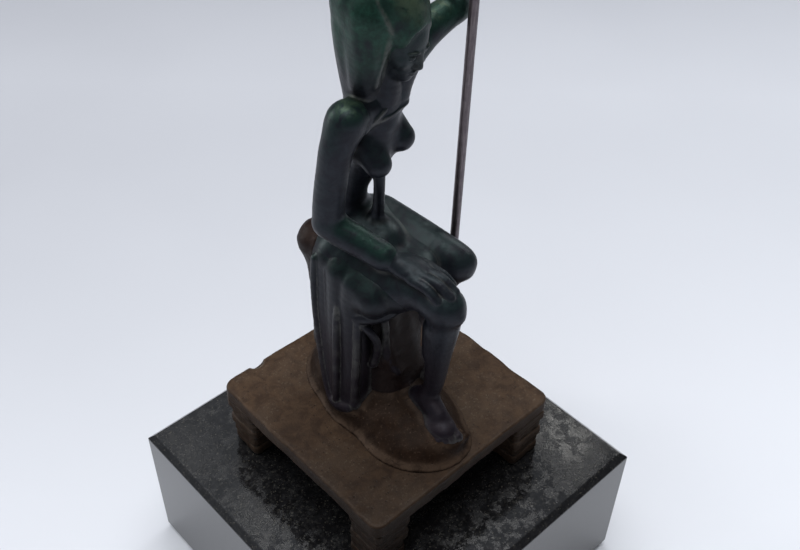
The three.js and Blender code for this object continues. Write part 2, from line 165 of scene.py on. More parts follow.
class Slab:
    """A rounded box, turned about Z."""

    def __init__(self, c, half, radius, angle=0.0, k=None, cut=False):
        self.c, self.half, self.radius = np.array(c, float), np.array(half, float), radius
        self.cos, self.sin = math.cos(angle), math.sin(angle)
        big = np.array([math.hypot(half[0], half[1])] * 2 + [half[2]])
        self.lo, self.hi = self.c - big, self.c + big
        self.k, self.cut = k, cut

    def at(self, x, y, z):
        px, py, pz = x - self.c[0], y - self.c[1], z - self.c[2]
        u, v = px * self.cos + py * self.sin, -px * self.sin + py * self.cos
        h, r = self.half, self.radius
        a, b, c = np.abs(u) - h[0] + r, np.abs(v) - h[1] + r, np.abs(pz) - h[2] + r
        out = np.sqrt(np.maximum(a, 0) ** 2 + np.maximum(b, 0) ** 2 + np.maximum(c, 0) ** 2)
        return out + np.minimum(np.maximum(a, np.maximum(b, c)), 0) - r


class Floor:
    """Keeps what is above z."""

    def __init__(self, z, k=0.6):
        self.z, self.k, self.cut = z, k, True
        self.lo, self.hi = np.array([-200.0, -200.0, z - 40]), np.array([200.0, 200.0, z + 3])

    def at(self, x, y, z):
        return (z - self.z) + 0 * x + 0 * y


def chain(*points, join=None, k=0.5, **more):
    """Bars along a smooth curve through points. join is how softly the first meets what was there before it."""
    p = np.array([tuple(q) for q in points], float)
    if 2 < len(p) < 9:
        ends = np.concatenate([[2 * p[0] - p[1]], p, [2 * p[-1] - p[-2]]])
        curve = []
        for i in range(len(p) - 1):
            a, b, c, d = ends[i: i + 4]
            for t in (0, 0.2, 0.4, 0.6, 0.8):
                curve.append(0.5 * (2 * b + (c - a) * t + (2 * a - 5 * b + 4 * c - d) * t * t + (3 * b - a - 3 * c + d) * t**3))
        least = p[:, 3].min()
        p = np.array(curve + [p[-1]])
        p[:, 3] = np.maximum(p[:, 3], least)
    soft = k if join is None or p[:, 3].max() < 1.3 else join
    return [Bundle([Cone(tuple(a), tuple(b), **more) for a, b in zip(p, p[1:])], soft)]


class Bundle:
    """Bars that are first joined to each other, closely, and then blended on as one."""

    def __init__(self, bars, k):
        self.bars, self.k, self.cut = bars, k, bars[0].cut
        self.lo, self.hi = np.min([b.lo for b in bars], 0), np.max([b.hi for b in bars], 0)
        self.own = 0.12

    def fill(self, window):
        out = np.full(window.shape, BIG, np.float32)
        for b in self.bars:
            part = window.part(b.lo - REACH, b.hi + REACH)
            if part is not None:
                out[part] = smin(out[part], b.at(*window.grids(part)).astype(np.float32), self.own)
        return out


def ring(c, r, tilt, thick, n=26, start=0.0, end=2 * math.pi, **more):
    """A bent round bar round an oval, in a plane turned by tilt."""
    m = turn(*tilt)
    pts = []
    for i in range(n + 1):
        t = start + (end - start) * i / n
        p = np.array(c) + m @ np.array([r[0] * math.cos(t), r[1] * math.sin(t), 0])
        pts.append((*p, thick))
    return chain(*pts, **more)


class Window:
    def __init__(self, lo, hi, h):
        self.h, self.lo = h, np.array(lo, float)
        n = np.ceil((np.array(hi) - self.lo) / h).astype(int) + 1
        self.shape = tuple(int(v) for v in n)
        self.axes = [(self.lo[i] + h * np.arange(n[i])).astype(np.float32) for i in range(3)]

    def part(self, lo, hi):
        found = []
        for i in range(3):
            a = max(0, int(math.floor((lo[i] - self.lo[i]) / self.h)))
            b = min(self.shape[i], int(math.ceil((hi[i] - self.lo[i]) / self.h)) + 1)
            if b <= a:
                return None
            found.append(slice(a, b))
        return tuple(found)

    def grids(self, part):
        x, y, z = (self.axes[i][part[i]] for i in range(3))
        return x[:, None, None], y[None, :, None], z[None, None, :]


def field(window, shapes, k):
    """The distance to shapes over the window, or None if none of them comes near."""
    total, any_near = np.full(window.shape, BIG, np.float32), False
    for s in shapes:
        part = window.part(s.lo - REACH, s.hi + REACH)
        if part is None:
            continue
        d = s.fill(window)[part] if isinstance(s, Bundle) else s.at(*window.grids(part)).astype(np.float32)
        blend = k if s.k is None else s.k
        if s.cut:
            total[part] = smax(total[part], -d if not isinstance(s, Floor) else -d, blend)
        else:
            total[part] = smin(total[part], d, blend)
            any_near = True
    return total if any_near else None


EDGES = [((0, 0, 0), (1, 0, 0)), ((0, 1, 0), (1, 1, 0)), ((0, 0, 1), (1, 0, 1)), ((0, 1, 1), (1, 1, 1)),
         ((0, 0, 0), (0, 1, 0)), ((1, 0, 0), (1, 1, 0)), ((0, 0, 1), (0, 1, 1)), ((1, 0, 1), (1, 1, 1)),
         ((0, 0, 0), (0, 0, 1)), ((1, 0, 0), (1, 0, 1)), ((0, 1, 0), (0, 1, 1)), ((1, 1, 0), (1, 1, 1))]


def sample(f, window, p):
    """f between its grid points, at p."""
    q = (p - window.lo) / window.h
    top = np.array(f.shape) - 1.001
    q = np.clip(q, 0, top)
    i = np.floor(q).astype(int)
    t = q - i
    out = np.zeros(len(p))
    for dx in (0, 1):
        for dy in (0, 1):
            for dz in (0, 1):
                w = ((t[:, 0] if dx else 1 - t[:, 0]) * (t[:, 1] if dy else 1 - t[:, 1]) * (t[:, 2] if dz else 1 - t[:, 2]))
                out += w * f[i[:, 0] + dx, i[:, 1] + dy, i[:, 2] + dz]
    return out


def slope(f, window, p):
    e = window.h * 0.5
    g = np.zeros((len(p), 3))
    for a in range(3):
        s = np.zeros(3)
        s[a] = e
        g[:, a] = (sample(f, window, p + s) - sample(f, window, p - s)) / (2 * e)
    return g


def skin(f, window, polish=2):
    """The closed quad mesh where f is zero, one vertex for each grid cell it passes through."""
    f[0], f[-1], f[:, 0], f[:, -1], f[:, :, 0], f[:, :, -1] = 1, 1, 1, 1, 1, 1
    inside = f < 0
    count = np.zeros(tuple(n - 1 for n in f.shape), np.uint8)
    for dx in (0, 1):
        for dy in (0, 1):
            for dz in (0, 1):
                count += inside[dx: f.shape[0] - 1 + dx, dy: f.shape[1] - 1 + dy, dz: f.shape[2] - 1 + dz]
    active = (count > 0) & (count < 8)
    cells = np.argwhere(active)
    index = np.full(count.shape, -1, np.int64)
    index[active] = np.arange(len(cells))
    total, hits = np.zeros((len(cells), 3)), np.zeros(len(cells))
    for a, b in EDGES:
        fa = f[cells[:, 0] + a[0], cells[:, 1] + a[1], cells[:, 2] + a[2]]
        fb = f[cells[:, 0] + b[0], cells[:, 1] + b[1], cells[:, 2] + b[2]]
        crossing = (fa < 0) != (fb < 0)
        t = np.where(crossing, fa / np.where(crossing, fa - fb, 1), 0)
        point = np.array(a) + t[:, None] * (np.array(b) - np.array(a))
        total += point * crossing[:, None]
        hits += crossing
    verts = (cells + total / hits[:, None]) * window.h + window.lo
    quads = []
    for axis in range(3):
        u, v = (axis + 1) % 3, (axis + 2) % 3
        lo, hi = [slice(1, -1)] * 3, [slice(1, -1)] * 3
        lo[axis], hi[axis] = slice(0, -1), slice(1, None)
        s0, s1 = inside[tuple(lo)], inside[tuple(hi)]
        spots = np.argwhere(s0 != s1)
        spots[:, u] += 1
        spots[:, v] += 1
        out = inside[spots[:, 0], spots[:, 1], spots[:, 2]]
        du, dv = np.zeros(3, int), np.zeros(3, int)
        du[u], dv[v] = 1, 1
        corner = [spots - du - dv, spots - dv, spots, spots - du]
        ids = np.stack([index[c[:, 0], c[:, 1], c[:, 2]] for c in corner], 1)
        ids[~out] = ids[~out][:, ::-1]
        quads.append(ids)
    quads = np.concatenate(quads)
    for _ in range(polish):
        g = slope(f, window, verts)
        n2 = np.maximum((g * g).sum(1), 0.2)
        move = -(sample(f, window, verts) / n2)[:, None] * g
        size = np.linalg.norm(move, axis=1, keepdims=True)
        verts = verts + move * np.minimum(1, 0.35 * window.h / np.maximum(size, 1e-9))
    return verts, quads


def biggest(verts, quads):
    """Only the largest connected body of a mesh, so nothing stray is left."""
    label = np.arange(len(verts))
    while True:
        low = label[quads].min(1)
        new = label.copy()
        for c in range(4):
            np.minimum.at(new, quads[:, c], low)
        new = new[new]
        if (new == label).all():
            break
        label = new
    names, counts = np.unique(label[quads[:, 0]], return_counts=True)
    keep = names[counts.argmax()]
    quads = quads[label[quads[:, 0]] == keep]
    used = np.unique(quads)
    back = np.full(len(verts), -1)
    back[used] = np.arange(len(used))
    return verts[used], back[quads], used


# ---- the figure's skeleton, in millimetres: x, y, z and the radius there
STAFF_FOOT = np.array([29.25, 0.2, 89.5])
STAFF_TILT = 0.0187


def staff_axis(z):
    return (STAFF_FOOT[0] + STAFF_TILT * (z - STAFF_FOOT[2]), STAFF_FOOT[1], z)


HEAD_AT, HEAD_SIZE, HEAD_YAW, HEAD_PITCH = np.array([7.6, 5.0, 228.6]), 0.84, 0.20, 0.40


def head_frame():
    cy, sy, cp, sp = math.cos(HEAD_YAW), math.sin(HEAD_YAW), math.cos(HEAD_PITCH), math.sin(HEAD_PITCH)
    forward = np.array([sy * cp, -cy * cp, -sp])
    side = np.array([cy, sy, 0.0])
    up = np.cross(forward, side) * -1
    if up[2] < 0:
        up = -up
    return np.stack([side, forward, up], 1)


HEAD_M = head_frame()


def hp(x, y, z, r=None):
    """A point given from the middle of the head: sideways, forward, up."""
    p = HEAD_AT + HEAD_M @ (np.array([x, y, z]) * HEAD_SIZE)
    return tuple(p) if r is None else (*p, r * HEAD_SIZE)


def hegg(c, r, **more):
    return Egg(hp(*c), np.array(r) * HEAD_SIZE, rot=HEAD_M, **more)


HEAD = (
    [
        hegg((0, -1.6, 3.4), (8.6, 10.4, 9.8)),
        hegg((0, 2.6, -3.2), (6.9, 7.1, 10.0), k=2.6),
        hegg((0, 3.6, -8.4), (5.0, 5.4, 4.8), k=2.4),
        hegg((0, 7.6, -11.2), (2.5, 2.2, 2.1), k=1.8),
        hegg((4.4, 5.6, -2.9), (2.6, 2.6, 2.8), k=1.8),
        hegg((-4.4, 5.6, -2.9), (2.6, 2.6, 2.8), k=1.8),
        hegg((3.2, 10.5, -0.1), (2.3, 2.2, 1.55), k=1.0, cut=True),
        hegg((-3.2, 10.5, -0.1), (2.3, 2.2, 1.55), k=1.0, cut=True),
        hegg((3.2, 7.7, -0.2), (1.9, 1.7, 1.35), k=0.3),
        hegg((-3.2, 7.7, -0.2), (1.9, 1.7, 1.35), k=0.3),
    ]
    + chain(hp(1.2, 9.2, 1.6, 0.42), hp(3.3, 9.25, 2.3, 0.42), hp(5.5, 7.5, 1.6, 0.3), k=0.3, join=1.0)
    + chain(hp(-1.2, 9.2, 1.6, 0.42), hp(-3.3, 9.25, 2.3, 0.42), hp(-5.5, 7.5, 1.6, 0.3), k=0.3, join=1.0)
    + chain(hp(0, 8.9, 1.6, 0.8), hp(0, 9.9, -1.5, 1.0), hp(0, 10.9, -4.1, 1.15), k=1.1, join=0.9)
    + chain(hp(-1.2, 9.8, -4.6, 0.8), hp(0, 10.5, -4.8, 0.9), hp(1.2, 9.8, -4.6, 0.8), k=0.6, join=0.5)
    + chain(hp(-2.1, 8.9, -7.6, 0.42), hp(-0.7, 9.85, -7.15, 0.6), hp(0, 9.85, -7.3, 0.5), hp(0.7, 9.85, -7.15, 0.6), hp(2.1, 8.9, -7.6, 0.42), k=0.2, join=0.5)
    + chain(hp(-1.7, 8.9, -8.4, 0.42), hp(0, 9.7, -8.7, 0.75), hp(1.7, 8.9, -8.4, 0.42), k=0.2, join=0.5)
    + chain(hp(-2.0, 9.5, -7.95, 0.15), hp(0, 10.6, -7.95, 0.17), hp(2.0, 9.5, -7.95, 0.15), k=0.2, cut=True)
    + chain(hp(1.7, 9.1, -0.75, 0.13), hp(3.2, 9.55, -0.95, 0.14), hp(4.7, 8.8, -0.6, 0.13), k=0.15, cut=True)
    + chain(hp(-1.7, 9.1, -0.75, 0.13), hp(-3.2, 9.55, -0.95, 0.14), hp(-4.7, 8.8, -0.6, 0.13), k=0.15, cut=True)
    + chain(hp(0, -3.2, -6, 5.4), (6.0, 8.6, 213, 4.6), (5.4, 9.8, 206, 5.2), k=1.2, join=2.2)
)

HAIR = (
    [
        Egg((5.0, 11.6, 239.8), (11.8, 11.6, 10.2), rot=(0.25, 0, 0.18)),
        Egg((6.6, 8.0, 240.0), (9.8, 9.4, 8.2), rot=(0.35, 0, 0.18), k=3),
        hegg((0, -3.0, 5.6), (10.7, 10.7, 10.2), k=3.0),
    ]
    + chain((4.4, 12.8, 238.6, 11.5), (3.9, 13.9, 229.6, 10.2), (3.7, 14.8, 220.6, 8.6), (3.1, 15.0, 212.5, 6.8), (1.8, 14.0, 206.6, 5.6), k=1.2, join=3)
    + chain((-3.0, 7.4, 239, 4.2), (-3.0, 8.6, 229, 3.7), (-2.2, 10.2, 219, 3.2), (-0.6, 12.4, 210.0, 2.4), k=0.8, join=2.2)
    + chain((15.0, 8.2, 239, 4.2), (15.0, 10.2, 229, 3.8), (13.2, 12.2, 220, 3.2), (10.4, 13.8, 212.6, 2.6), k=0.8, join=2.2)
    + chain((-1.0, 5.8, 236, 4.6), (-1.4, 7.0, 227, 4.2), (-0.8, 9.2, 217, 3.7), (0.4, 11.6, 209.4, 3.0), k=0.8, join=3.0)
    + chain((12.4, 5.4, 236, 4.2), (13.2, 7.4, 227, 3.8), (11.6, 10.0, 217, 3.2), k=0.8, join=3.0)
    + [hegg((0, 12.4, 0.2), (9.6, 10.0, 13.0), k=0.6, cut=True)]
)

TORSO = (
    chain((4, 19.5, 153, 9.6), (2.8, 22.0, 161, 7.0), (2.2, 22.0, 169, 5.8), (3.2, 18.4, 180, 6.2), (4.8, 13.8, 190, 7.4), (5.0, 11.2, 200, 6.6), k=1.5)
    + [
        Egg((4.2, 18.6, 153.5), (13.0, 10.6, 10.0), rot=(0.1, 0, 0.1), k=4),
        Egg((4.4, 14.8, 196.5), (10.4, 6.6, 12.0), rot=(-0.32, 0, 0.12), k=3.5),
        Egg((1.9, 22.4, 168.5), (6.2, 5.0, 9.0), rot=(0, 0, 0.1), k=3.0),
    ]
    + chain((-8.4, 9.8, 205.2, 4.7), (1, 10.8, 206.2, 5.2), (9.2, 10.1, 206.2, 4.9), k=1.5, join=3)
    + chain((9.6, 11.6, 196.4, 5.4), (11.2, 7.6, 192.6, 4.5), k=2.2)
    + chain((0.0, 10.8, 193.0, 5.4), (0.2, 5.6, 188.8, 4.3), k=2.2)
    + chain((4.8, 10.2, 186.0, 2.2), (4.3, 9.4, 177, 1.8), (4.3, 10.0, 167, 2.0), (4.6, 12.0, 158, 3.2), k=0.6, join=1.6)
    + [Egg((5.0, 4.0, 150.6), (11.5, 17.0, 6.4), k=4), Egg((3.6, 9.0, 156.0), (8.0, 8.4, 6.6), k=3.5)]
)

RIGHT_ARM = (
    chain((-8.8, 8.8, 206.8, 5.5), (-11.8, 9.6, 199, 5.2), (-13.2, 10.6, 190, 4.9), (-14.4, 11.5, 178, 4.9), (-14.6, 11.6, 171.2, 5.0), k=0.8)
    + chain((-14.6, 11.4, 170.8, 5.0), (-12.4, 7.4, 168.0, 4.9), (-9.0, 1.4, 164.8, 4.7), (-6.4, -3.6, 162.2, 4.6), k=0.8, join=1.2)
)

RIGHT_HAND = (
    [Egg((-1.4, -11.6, 159.3), (5.0, 7.2, 3.1), rot=(0.20, 0.0, 0.372))]
    + chain((-5.0, -5.6, 161.0, 3.1), (-3.2, -9.0, 159.8, 3.4), k=0.8, join=1.4)
    + chain((-4.1, -15.0, 158.4, 1.85), (-3.0, -20.2, 157.5, 1.7), (-2.2, -24.4, 154.6, 1.35), k=0.35, join=0.9)
    + chain((-1.4, -16.0, 159.1, 1.95), (0.2, -21.6, 158.3, 1.75), (1.2, -26.4, 155.6, 1.4), k=0.35, join=0.7)
    + chain((1.5, -15.4, 159.0, 1.9), (3.3, -20.6, 158.0, 1.7), (4.6, -25.2, 155.2, 1.35), k=0.35, join=0.7)
    + chain((3.8, -13.6, 158.2, 1.65), (5.9, -18.0, 156.8, 1.5), (7.2, -21.6, 154.2, 1.2), k=0.35, join=0.7)
    + chain((1.2, -8.2, 159.2, 1.9), (4.9, -11.4, 157.2, 1.75), (7.2, -14.6, 155.4, 1.4), k=0.5, join=1.0)
)

LEFT_ARM = (
    chain((10.0, 10.4, 209.0, 5.4), (13.4, 10.0, 217.0, 5.8), (18.2, 8.8, 223.4, 5.9), (25.0, 8.0, 226.2, 5.0), (32.0, 7.6, 228.2, 4.5), k=0.8)
    + chain((32.0, 7.6, 228.6, 4.5), (32.4, 7.2, 238, 3.8), (32.2, 6.6, 244.6, 3.4), k=0.6, join=1.5)
)

_f = staff_axis(251.0)
LEFT_HAND = (
    [Egg((_f[0], _f[1] + 1.6, 251.0), (4.2, 3.9, 4.9))]
    + chain((32.1, 6.2, 245.4, 2.7), (32.2, 3.6, 249.0, 3.1), k=1.4)
)
for _i in range(4):
    _z = 247.6 + 2.15 * _i
    _c = staff_axis(_z)
    LEFT_HAND += ring((_c[0] + 0.1, _c[1] - 0.1, _z), (3.05, 3.05), (0.10, 0.0, 0.0), 1.18 - 0.05 * _i, n=9,
                      start=math.radians(-15), end=math.radians(-235), k=0.3)
_c = staff_axis(254.6)
LEFT_HAND += chain((_c[0] + 3.2, _c[1] + 2.0, 251.4, 1.5), (_c[0] + 1.9, _c[1] - 1.9, 255.0, 1.35), (_c[0] - 0.9, _c[1] - 3.0, 255.6, 1.1), k=0.4)

RIGHT_LEG = (
    chain((-5.5, 16, 152.5, 8.2), (-3, 2, 150.8, 7.3), (0.5, -16, 150.6, 6.2), (1.8, -24.0, 150.2, 5.6), k=1.0)
    + chain((2.0, -27.2, 151.0, 2.8), (2.1, -28.9, 148.8, 2.2), k=2.0)
    + chain((1.8, -24.0, 149.0, 5.6), (2, -23.7, 141, 5.25), (2.3, -21.9, 128, 4.55), (2.6, -20.5, 112, 3.45), (1.8, -19.0, 104.8, 3.3), k=1.0, join=4.0)
    + chain((1.8, -20.8, 138, 4.6), (2.4, -19.4, 126, 3.8), k=2.2)
    + chain((1.0, -15.4, 101.8, 3.2), (0.8, -20.5, 102.6, 3.6), (0.0, -25.5, 100.6, 3.4), k=1.2, join=2.0)
    + [Egg((-1.0, -28.2, 98.6), (4.3, 5.6, 2.7), rot=(0.10, 0, -0.10), k=2.0)]
    + chain((0.8, -30.4, 98.0, 1.5), (0.6, -34.4, 97.0, 1.25), k=0.4, join=0.8)
    + chain((-1.2, -30.4, 97.9, 1.25), (-1.6, -33.8, 96.8, 0.95), k=0.4, join=0.7)
    + chain((-2.8, -29.8, 97.7, 1.15), (-3.4, -32.8, 96.6, 0.9), k=0.4, join=0.7)
    + chain((-4.1, -28.6, 97.5, 1.05), (-5.0, -31.2, 96.5, 0.85), k=0.4, join=0.7)
)

LEFT_LEG = (
    chain((13, 18, 153, 8.2), (16.5, 4, 151.0, 7.4), (20, -6, 148.2, 6.8), (21.6, -9.7, 146.9, 6.2), k=1.0)
    + chain((23.2, -12.0, 147.2, 3.3), (22.6, -12.2, 144.8, 3.0), k=2.2)
    + chain((21.3, -8.8, 146.3, 6.2), (17.2, -3, 133, 5.3), (12.8, 2, 119, 4.4), (11, 3.4, 106, 3.4), k=1.0, join=1.5)
    + chain((11, 4.6, 103.0, 3.1), (11.8, -1.6, 102.8, 3.2), (12.2, -5.4, 101.2, 3.0), k=1.0, join=1.8)
    + [Egg((12.6, -8.2, 99.6), (3.7, 4.8, 2.3), rot=(0.12, 0, 0.1), k=1.8)]
)

DRAPE = (
    chain((-8.6, 16.6, 150, 6.6), (-9.6, 16.2, 134, 6.4), (-10.8, 13.8, 117, 6.2), (-12.4, 10.6, 98.5, 6.4), k=0.8)
    + chain((-9.6, 10.4, 149, 6.6), (-10.2, 9.8, 134, 6.6), (-11.2, 8.4, 117, 6.5), (-12.8, 6.6, 98, 6.7), k=0.8)
    + chain((-9.6, 4.2, 148, 5.8), (-10.8, 4.4, 134, 5.4), (-11.8, 3.6, 117, 5.2), (-13.4, 2.6, 98, 5.2), k=0.8)
    + chain((-6.6, 10, 148, 6.6), (-7.4, 9.6, 128, 7.0), (-8.0, 9.0, 103, 7.6), k=1.0, join=3.0)
    + [Egg((-8.4, -2.4, 145.0), (6.6, 6.6, 7.4), k=3.0), Egg((-3.4, -7.4, 146.4), (5.4, 6.4, 5.6), k=3.0)]
    + chain((-14.6, 19.2, 151, 1.6), (-15.5, 19.2, 141, 1.5), (-16.0, 18.5, 129, 1.4), (-17.0, 15.8, 115, 1.35), (-18.1, 12.4, 103, 1.4), (-19.2, 8.6, 97.0, 1.5), (-19.6, 4.6, 96.0, 1.6), (-18.2, 0.4, 96.4, 1.4), k=0.6, join=0.6)
    + chain((-14.9, 7.6, 141, 0.9), (-16.7, 7.0, 133, 1.3), (-18.0, 6.2, 118, 1.35), (-19.6, 5.0, 98.0, 1.4), k=0.6, join=0.6)
    + chain((-12.2, 0.6, 141, 1.0), (-14.0, -0.6, 134, 1.35), (-15.0, -0.9, 120, 1.25), (-16.6, -1.4, 98.6, 1.4), k=0.6, join=0.6)
    + chain((-13.2, 0.2, 136.6, 1.9), (-10.8, -3.2, 138.2, 2.5), (-7.4, -6.4, 139.6, 2.3), (-3.6, -9.0, 141.6, 1.6), (-1.0, -11.2, 143.6, 1.2), k=0.8, join=0.5)
    + chain((-13.6, -0.6, 136.0, 1.2), (-11.4, -3.6, 132.0, 1.5), (-9.6, -4.8, 127.0, 1.4), (-9.0, -4.2, 121.0, 1.35), (-9.6, -2.8, 114.6, 1.3), k=0.6, join=0.5)
    + chain((-7.8, -6.2, 138.6, 1.3), (-6.6, -6.0, 131.0, 1.2), (-5.8, -4.8, 123.0, 1.15), (-4.6, -5.4, 115.0, 1.05), (-2.6, -7.4, 109.6, 0.9), k=0.6, join=0.5)
)

SEAT = (
    chain((-6.6, 26.8, 149.8, 7.5), (-4.8, 26.2, 141, 6.9), (-2.6, 25.2, 126, 8.0), (-1.6, 24.6, 104, 9.2), k=2.0)
    + chain((6, 24, 146.5, 8.4), (8, 21, 122, 10.4), (8, 20, 104, 11.6), k=3.0, join=4)
    + chain((9, 13, 138, 7.2), (9.4, 11.6, 120, 8.2), (9, 11.5, 104, 8.8), k=2.5, join=4)
    + chain((0, 9.6, 139, 6.8), (0, 7.4, 122, 7.4), (-0.6, 4.6, 104, 8.6), k=2.5, join=4)
    + chain((4.6, 3.2, 139, 4.8), (4.8, 0.6, 122, 5.4), (4.6, -2.0, 104, 7.0), k=2.0, join=4)
    + chain((-2.6, 0.8, 138, 4.4), (-2.2, -0.6, 122, 4.8), (-2.6, -2.6, 104, 6.4), k=2.0, join=4)
    + chain((10.2, 2.6, 140, 3.6), (9.6, 2.0, 122, 4.6), (8.0, 0.6, 106, 6.0), k=2.0, join=4)
)

MOUND = [
    Egg((-0.6, 3.0, 89.2), (17.6, 30.0, 10.0)),
    Egg((-3.2, -15.0, 88.4), (17.4, 21.0, 10.6), rot=(0, 0, -0.18), k=4),
    Egg((-4.6, -6.0, 92.0), (12.0, 15.0, 9.6), rot=(0, 0, -0.1), k=5),
    Egg((3, 14, 90), (20.4, 21.0, 13.5), k=4),
    Egg((-2.4, -28.4, 89.0), (10.2, 8.8, 8.0), rot=(0, 0, -0.2), k=3),
    Egg((-12.2, 3.2, 91.0), (8.0, 10.6, 6.4), k=4),
    *chain((-5.6, -31.6, 93.4, 1.5), (-1.4, -35.4, 93.6, 1.8), (4.4, -34.6, 93.8, 1.6), k=1.6),
    Floor(89.35, k=0.4),
]

# name, shapes, blending inside it, blending with the rest, cast texture
GROUPS = {
    "torso": (TORSO, 2.4, 0.0, 0.035),
    "right_leg": (RIGHT_LEG, 2.0, 3.4, 0.022),
    "left_leg": (LEFT_LEG, 2.0, 3.4, 0.022),
    "right_arm": (RIGHT_ARM, 2.4, 4.2, 0.022),
    "left_arm": (LEFT_ARM, 2.4, 2.8, 0.022),
    "skirt_drape": (DRAPE, 4.2, 3.4, 0.03),
    "rock_seat": (SEAT, 3.0, 3.2, 0.30),
    "rock_base": (MOUND, 2.5, 4.0, 0.26),
    "head": (HEAD, 1.6, 0.9, 0.02),
    "hair": (HAIR, 2.4, 1.6, 0.06),
    "right_hand": (RIGHT_HAND, 1.3, 1.5, 0.05),
    "left_hand": (LEFT_HAND, 0.8, 0.6, 0.05),
}
FINE = {"head": 0.26, "right_hand": 0.34, "left_hand": 0.30, "hair": 0.5, "rock_base": 0.6, "rock_seat": 0.6}


def limits(shapes):
    lo = np.min([s.lo for s in shapes if not s.cut], 0)
    hi = np.max([s.hi for s in shapes if not s.cut], 0)
    return lo, hi


# raised lines of the collar: a point on the line's plane, its normal, width, height, and where it fades out
WELTS = [
    ((2.0, 4.6, 206.6), (-0.42, 0.50, 0.76), 0.62, 0.75, (5.4, 8.6, 208.0), 11.0),
    ((1.0, 4.0, 204.0), (-0.16, 0.30, 0.94), 0.60, 0.55, (2.8, 7.0, 205.0), 12.0),
]


# the parting: the crest where the hair turns from the side of the head to its front
PARTING = [
    ((-0.70, 1.50, 238.40), (-0.8025, 0.4539, -0.3872), 0.75, 0.55, (-1.0, 1.6, 239.2), 7.6),
    ((-0.30, 3.00, 223.50), (-0.6096, 0.7537, 0.2457), 0.75, 0.55, (-0.8, 4.2, 224.0), 11.0),
]


def welts(p, lines=WELTS):
    out = np.zeros(len(p))
    for at, n, width, height, centre, reach in lines:
        n = np.array(n) / np.linalg.norm(n)
        s = (p - np.array(at)) @ n
        fade = np.clip((reach - np.linalg.norm(p - np.array(centre), axis=1)) / 3.0, 0, 1)
        out -= height * np.exp(-((s / width) ** 2)) * fade
    return out


def cast_noise(name, p, strength):
    """What the sculptor's hand and the casting leave on a surface, in millimetres."""
    if name == "torso":
        return welts(p) + strength * (1.1 * noise(p, 5.0, 21) + 0.7 * noise(p, 2.1, 22))
    if name in ("rock_seat", "rock_base"):
        out = layered(p * np.array([1, 1, 1.7]), 7.0, 3, 3, 0.55) * strength * 1.5
        return out + noise(p, 1.7, 91) * strength * 0.16
    if name == "hair":
        q = p - np.array([5.0, 9.0, 0.0])
        around = np.arctan2(q[:, 1], q[:, 0])
        wave = np.sin(around * 15 + 1.5 * noise(p, 9.0, 5) + p[:, 2] * 0.05)
        return welts(p, PARTING) + strength * (0.9 * wave + 1.2 * noise(p, 3.6, 8))
    return strength * (1.1 * noise(p, 5.0, 21) + 0.7 * noise(p, 2.1, 22) + 0.35 * noise(p, 1.0, 23))


def cast_piece(name):
    """The mesh of one piece of the figure: its share of the whole cast surface, closed along its seams."""
    shapes, k, _, strength = GROUPS[name]
    h = max(FINE.get(name, STEP), 0)
    lo, hi = limits(shapes)
    lo, hi = lo - 3.6, hi + 3.6
    lo[2] = max(lo[2], 87.5)
    window = Window(lo, hi, h)
    near = {}
    for n, (s, kk, _, _) in GROUPS.items():
        f = field(window, s, kk)
        if f is not None:
            near[n] = f
    whole = None
    for n in GROUPS:
        if n in near:
            whole = near[n].copy() if whole is None else smin(whole, near[n], GROUPS[n][2])
    flat_whole = whole
    band = np.abs(whole) < 1.6
    at = np.argwhere(band)
    p = at * h + window.lo
    whole = whole.copy()
    whole[band] += cast_noise(name, p, strength).astype(np.float32)
    if name == "rock_base":
        x, y, z = window.grids(tuple(slice(0, n) for n in window.shape))
        grid = np.argwhere(np.ones(window.shape, bool)) * h + window.lo
        uneven = noise(grid, 8.0, 33).reshape(window.shape).astype(np.float32)
        away = np.maximum(near[name], 0)
        flare = smin(whole, (z - 90.15 + 0.40 * away + 0.20 * uneven + np.zeros(window.shape)).astype(np.float32), 4.0)
        whole = np.maximum(flare, (89.35 - z).astype(np.float32))
    part = window.part(np.array([20.0, -8, 80]), np.array([45.0, 10, 300]))
    if part is not None:
        bar = Cone((*STAFF_FOOT, 1.85), (*staff_axis(300.0), 1.85)).at(*window.grids(part))
        whole[part] = np.maximum(whole[part], -bar)
    others = None
    for n, f in near.items():
        if n != name:
            others = f if others is None else np.minimum(others, f)
    f = whole
    if others is not None:
        seam = (near[name] - others) * 0.5
        dip = np.clip(seam / 0.8 + 0.5, 0, 1)
        f = np.maximum(whole + 0.16 * dip * dip * (3 - 2 * dip), seam - 0.3)
    f = f.astype(np.float32)
    verts, quads = skin(f, window)
    verts, quads, _ = biggest(verts, quads)
    g = slope(flat_whole, window, verts)
    g /= np.maximum(np.linalg.norm(g, axis=1, keepdims=True), 1e-6)
    # painted shade mask: how far the surface is enclosed by other surfaces, read by the materials to darken it
    occlusion_shade = np.zeros(len(verts))
    for d in (1.0, 2.4):
        occlusion_shade += np.clip(1 - sample(flat_whole, window, verts + g * d) / d, 0, 1) * 0.5
    ridge = np.clip((sample(flat_whole, window, verts - g * 1.4) + 1.4) / 1.4, 0, 1)
    return verts, quads, {"occlusion_shade": occlusion_shade, "ridge": ridge}


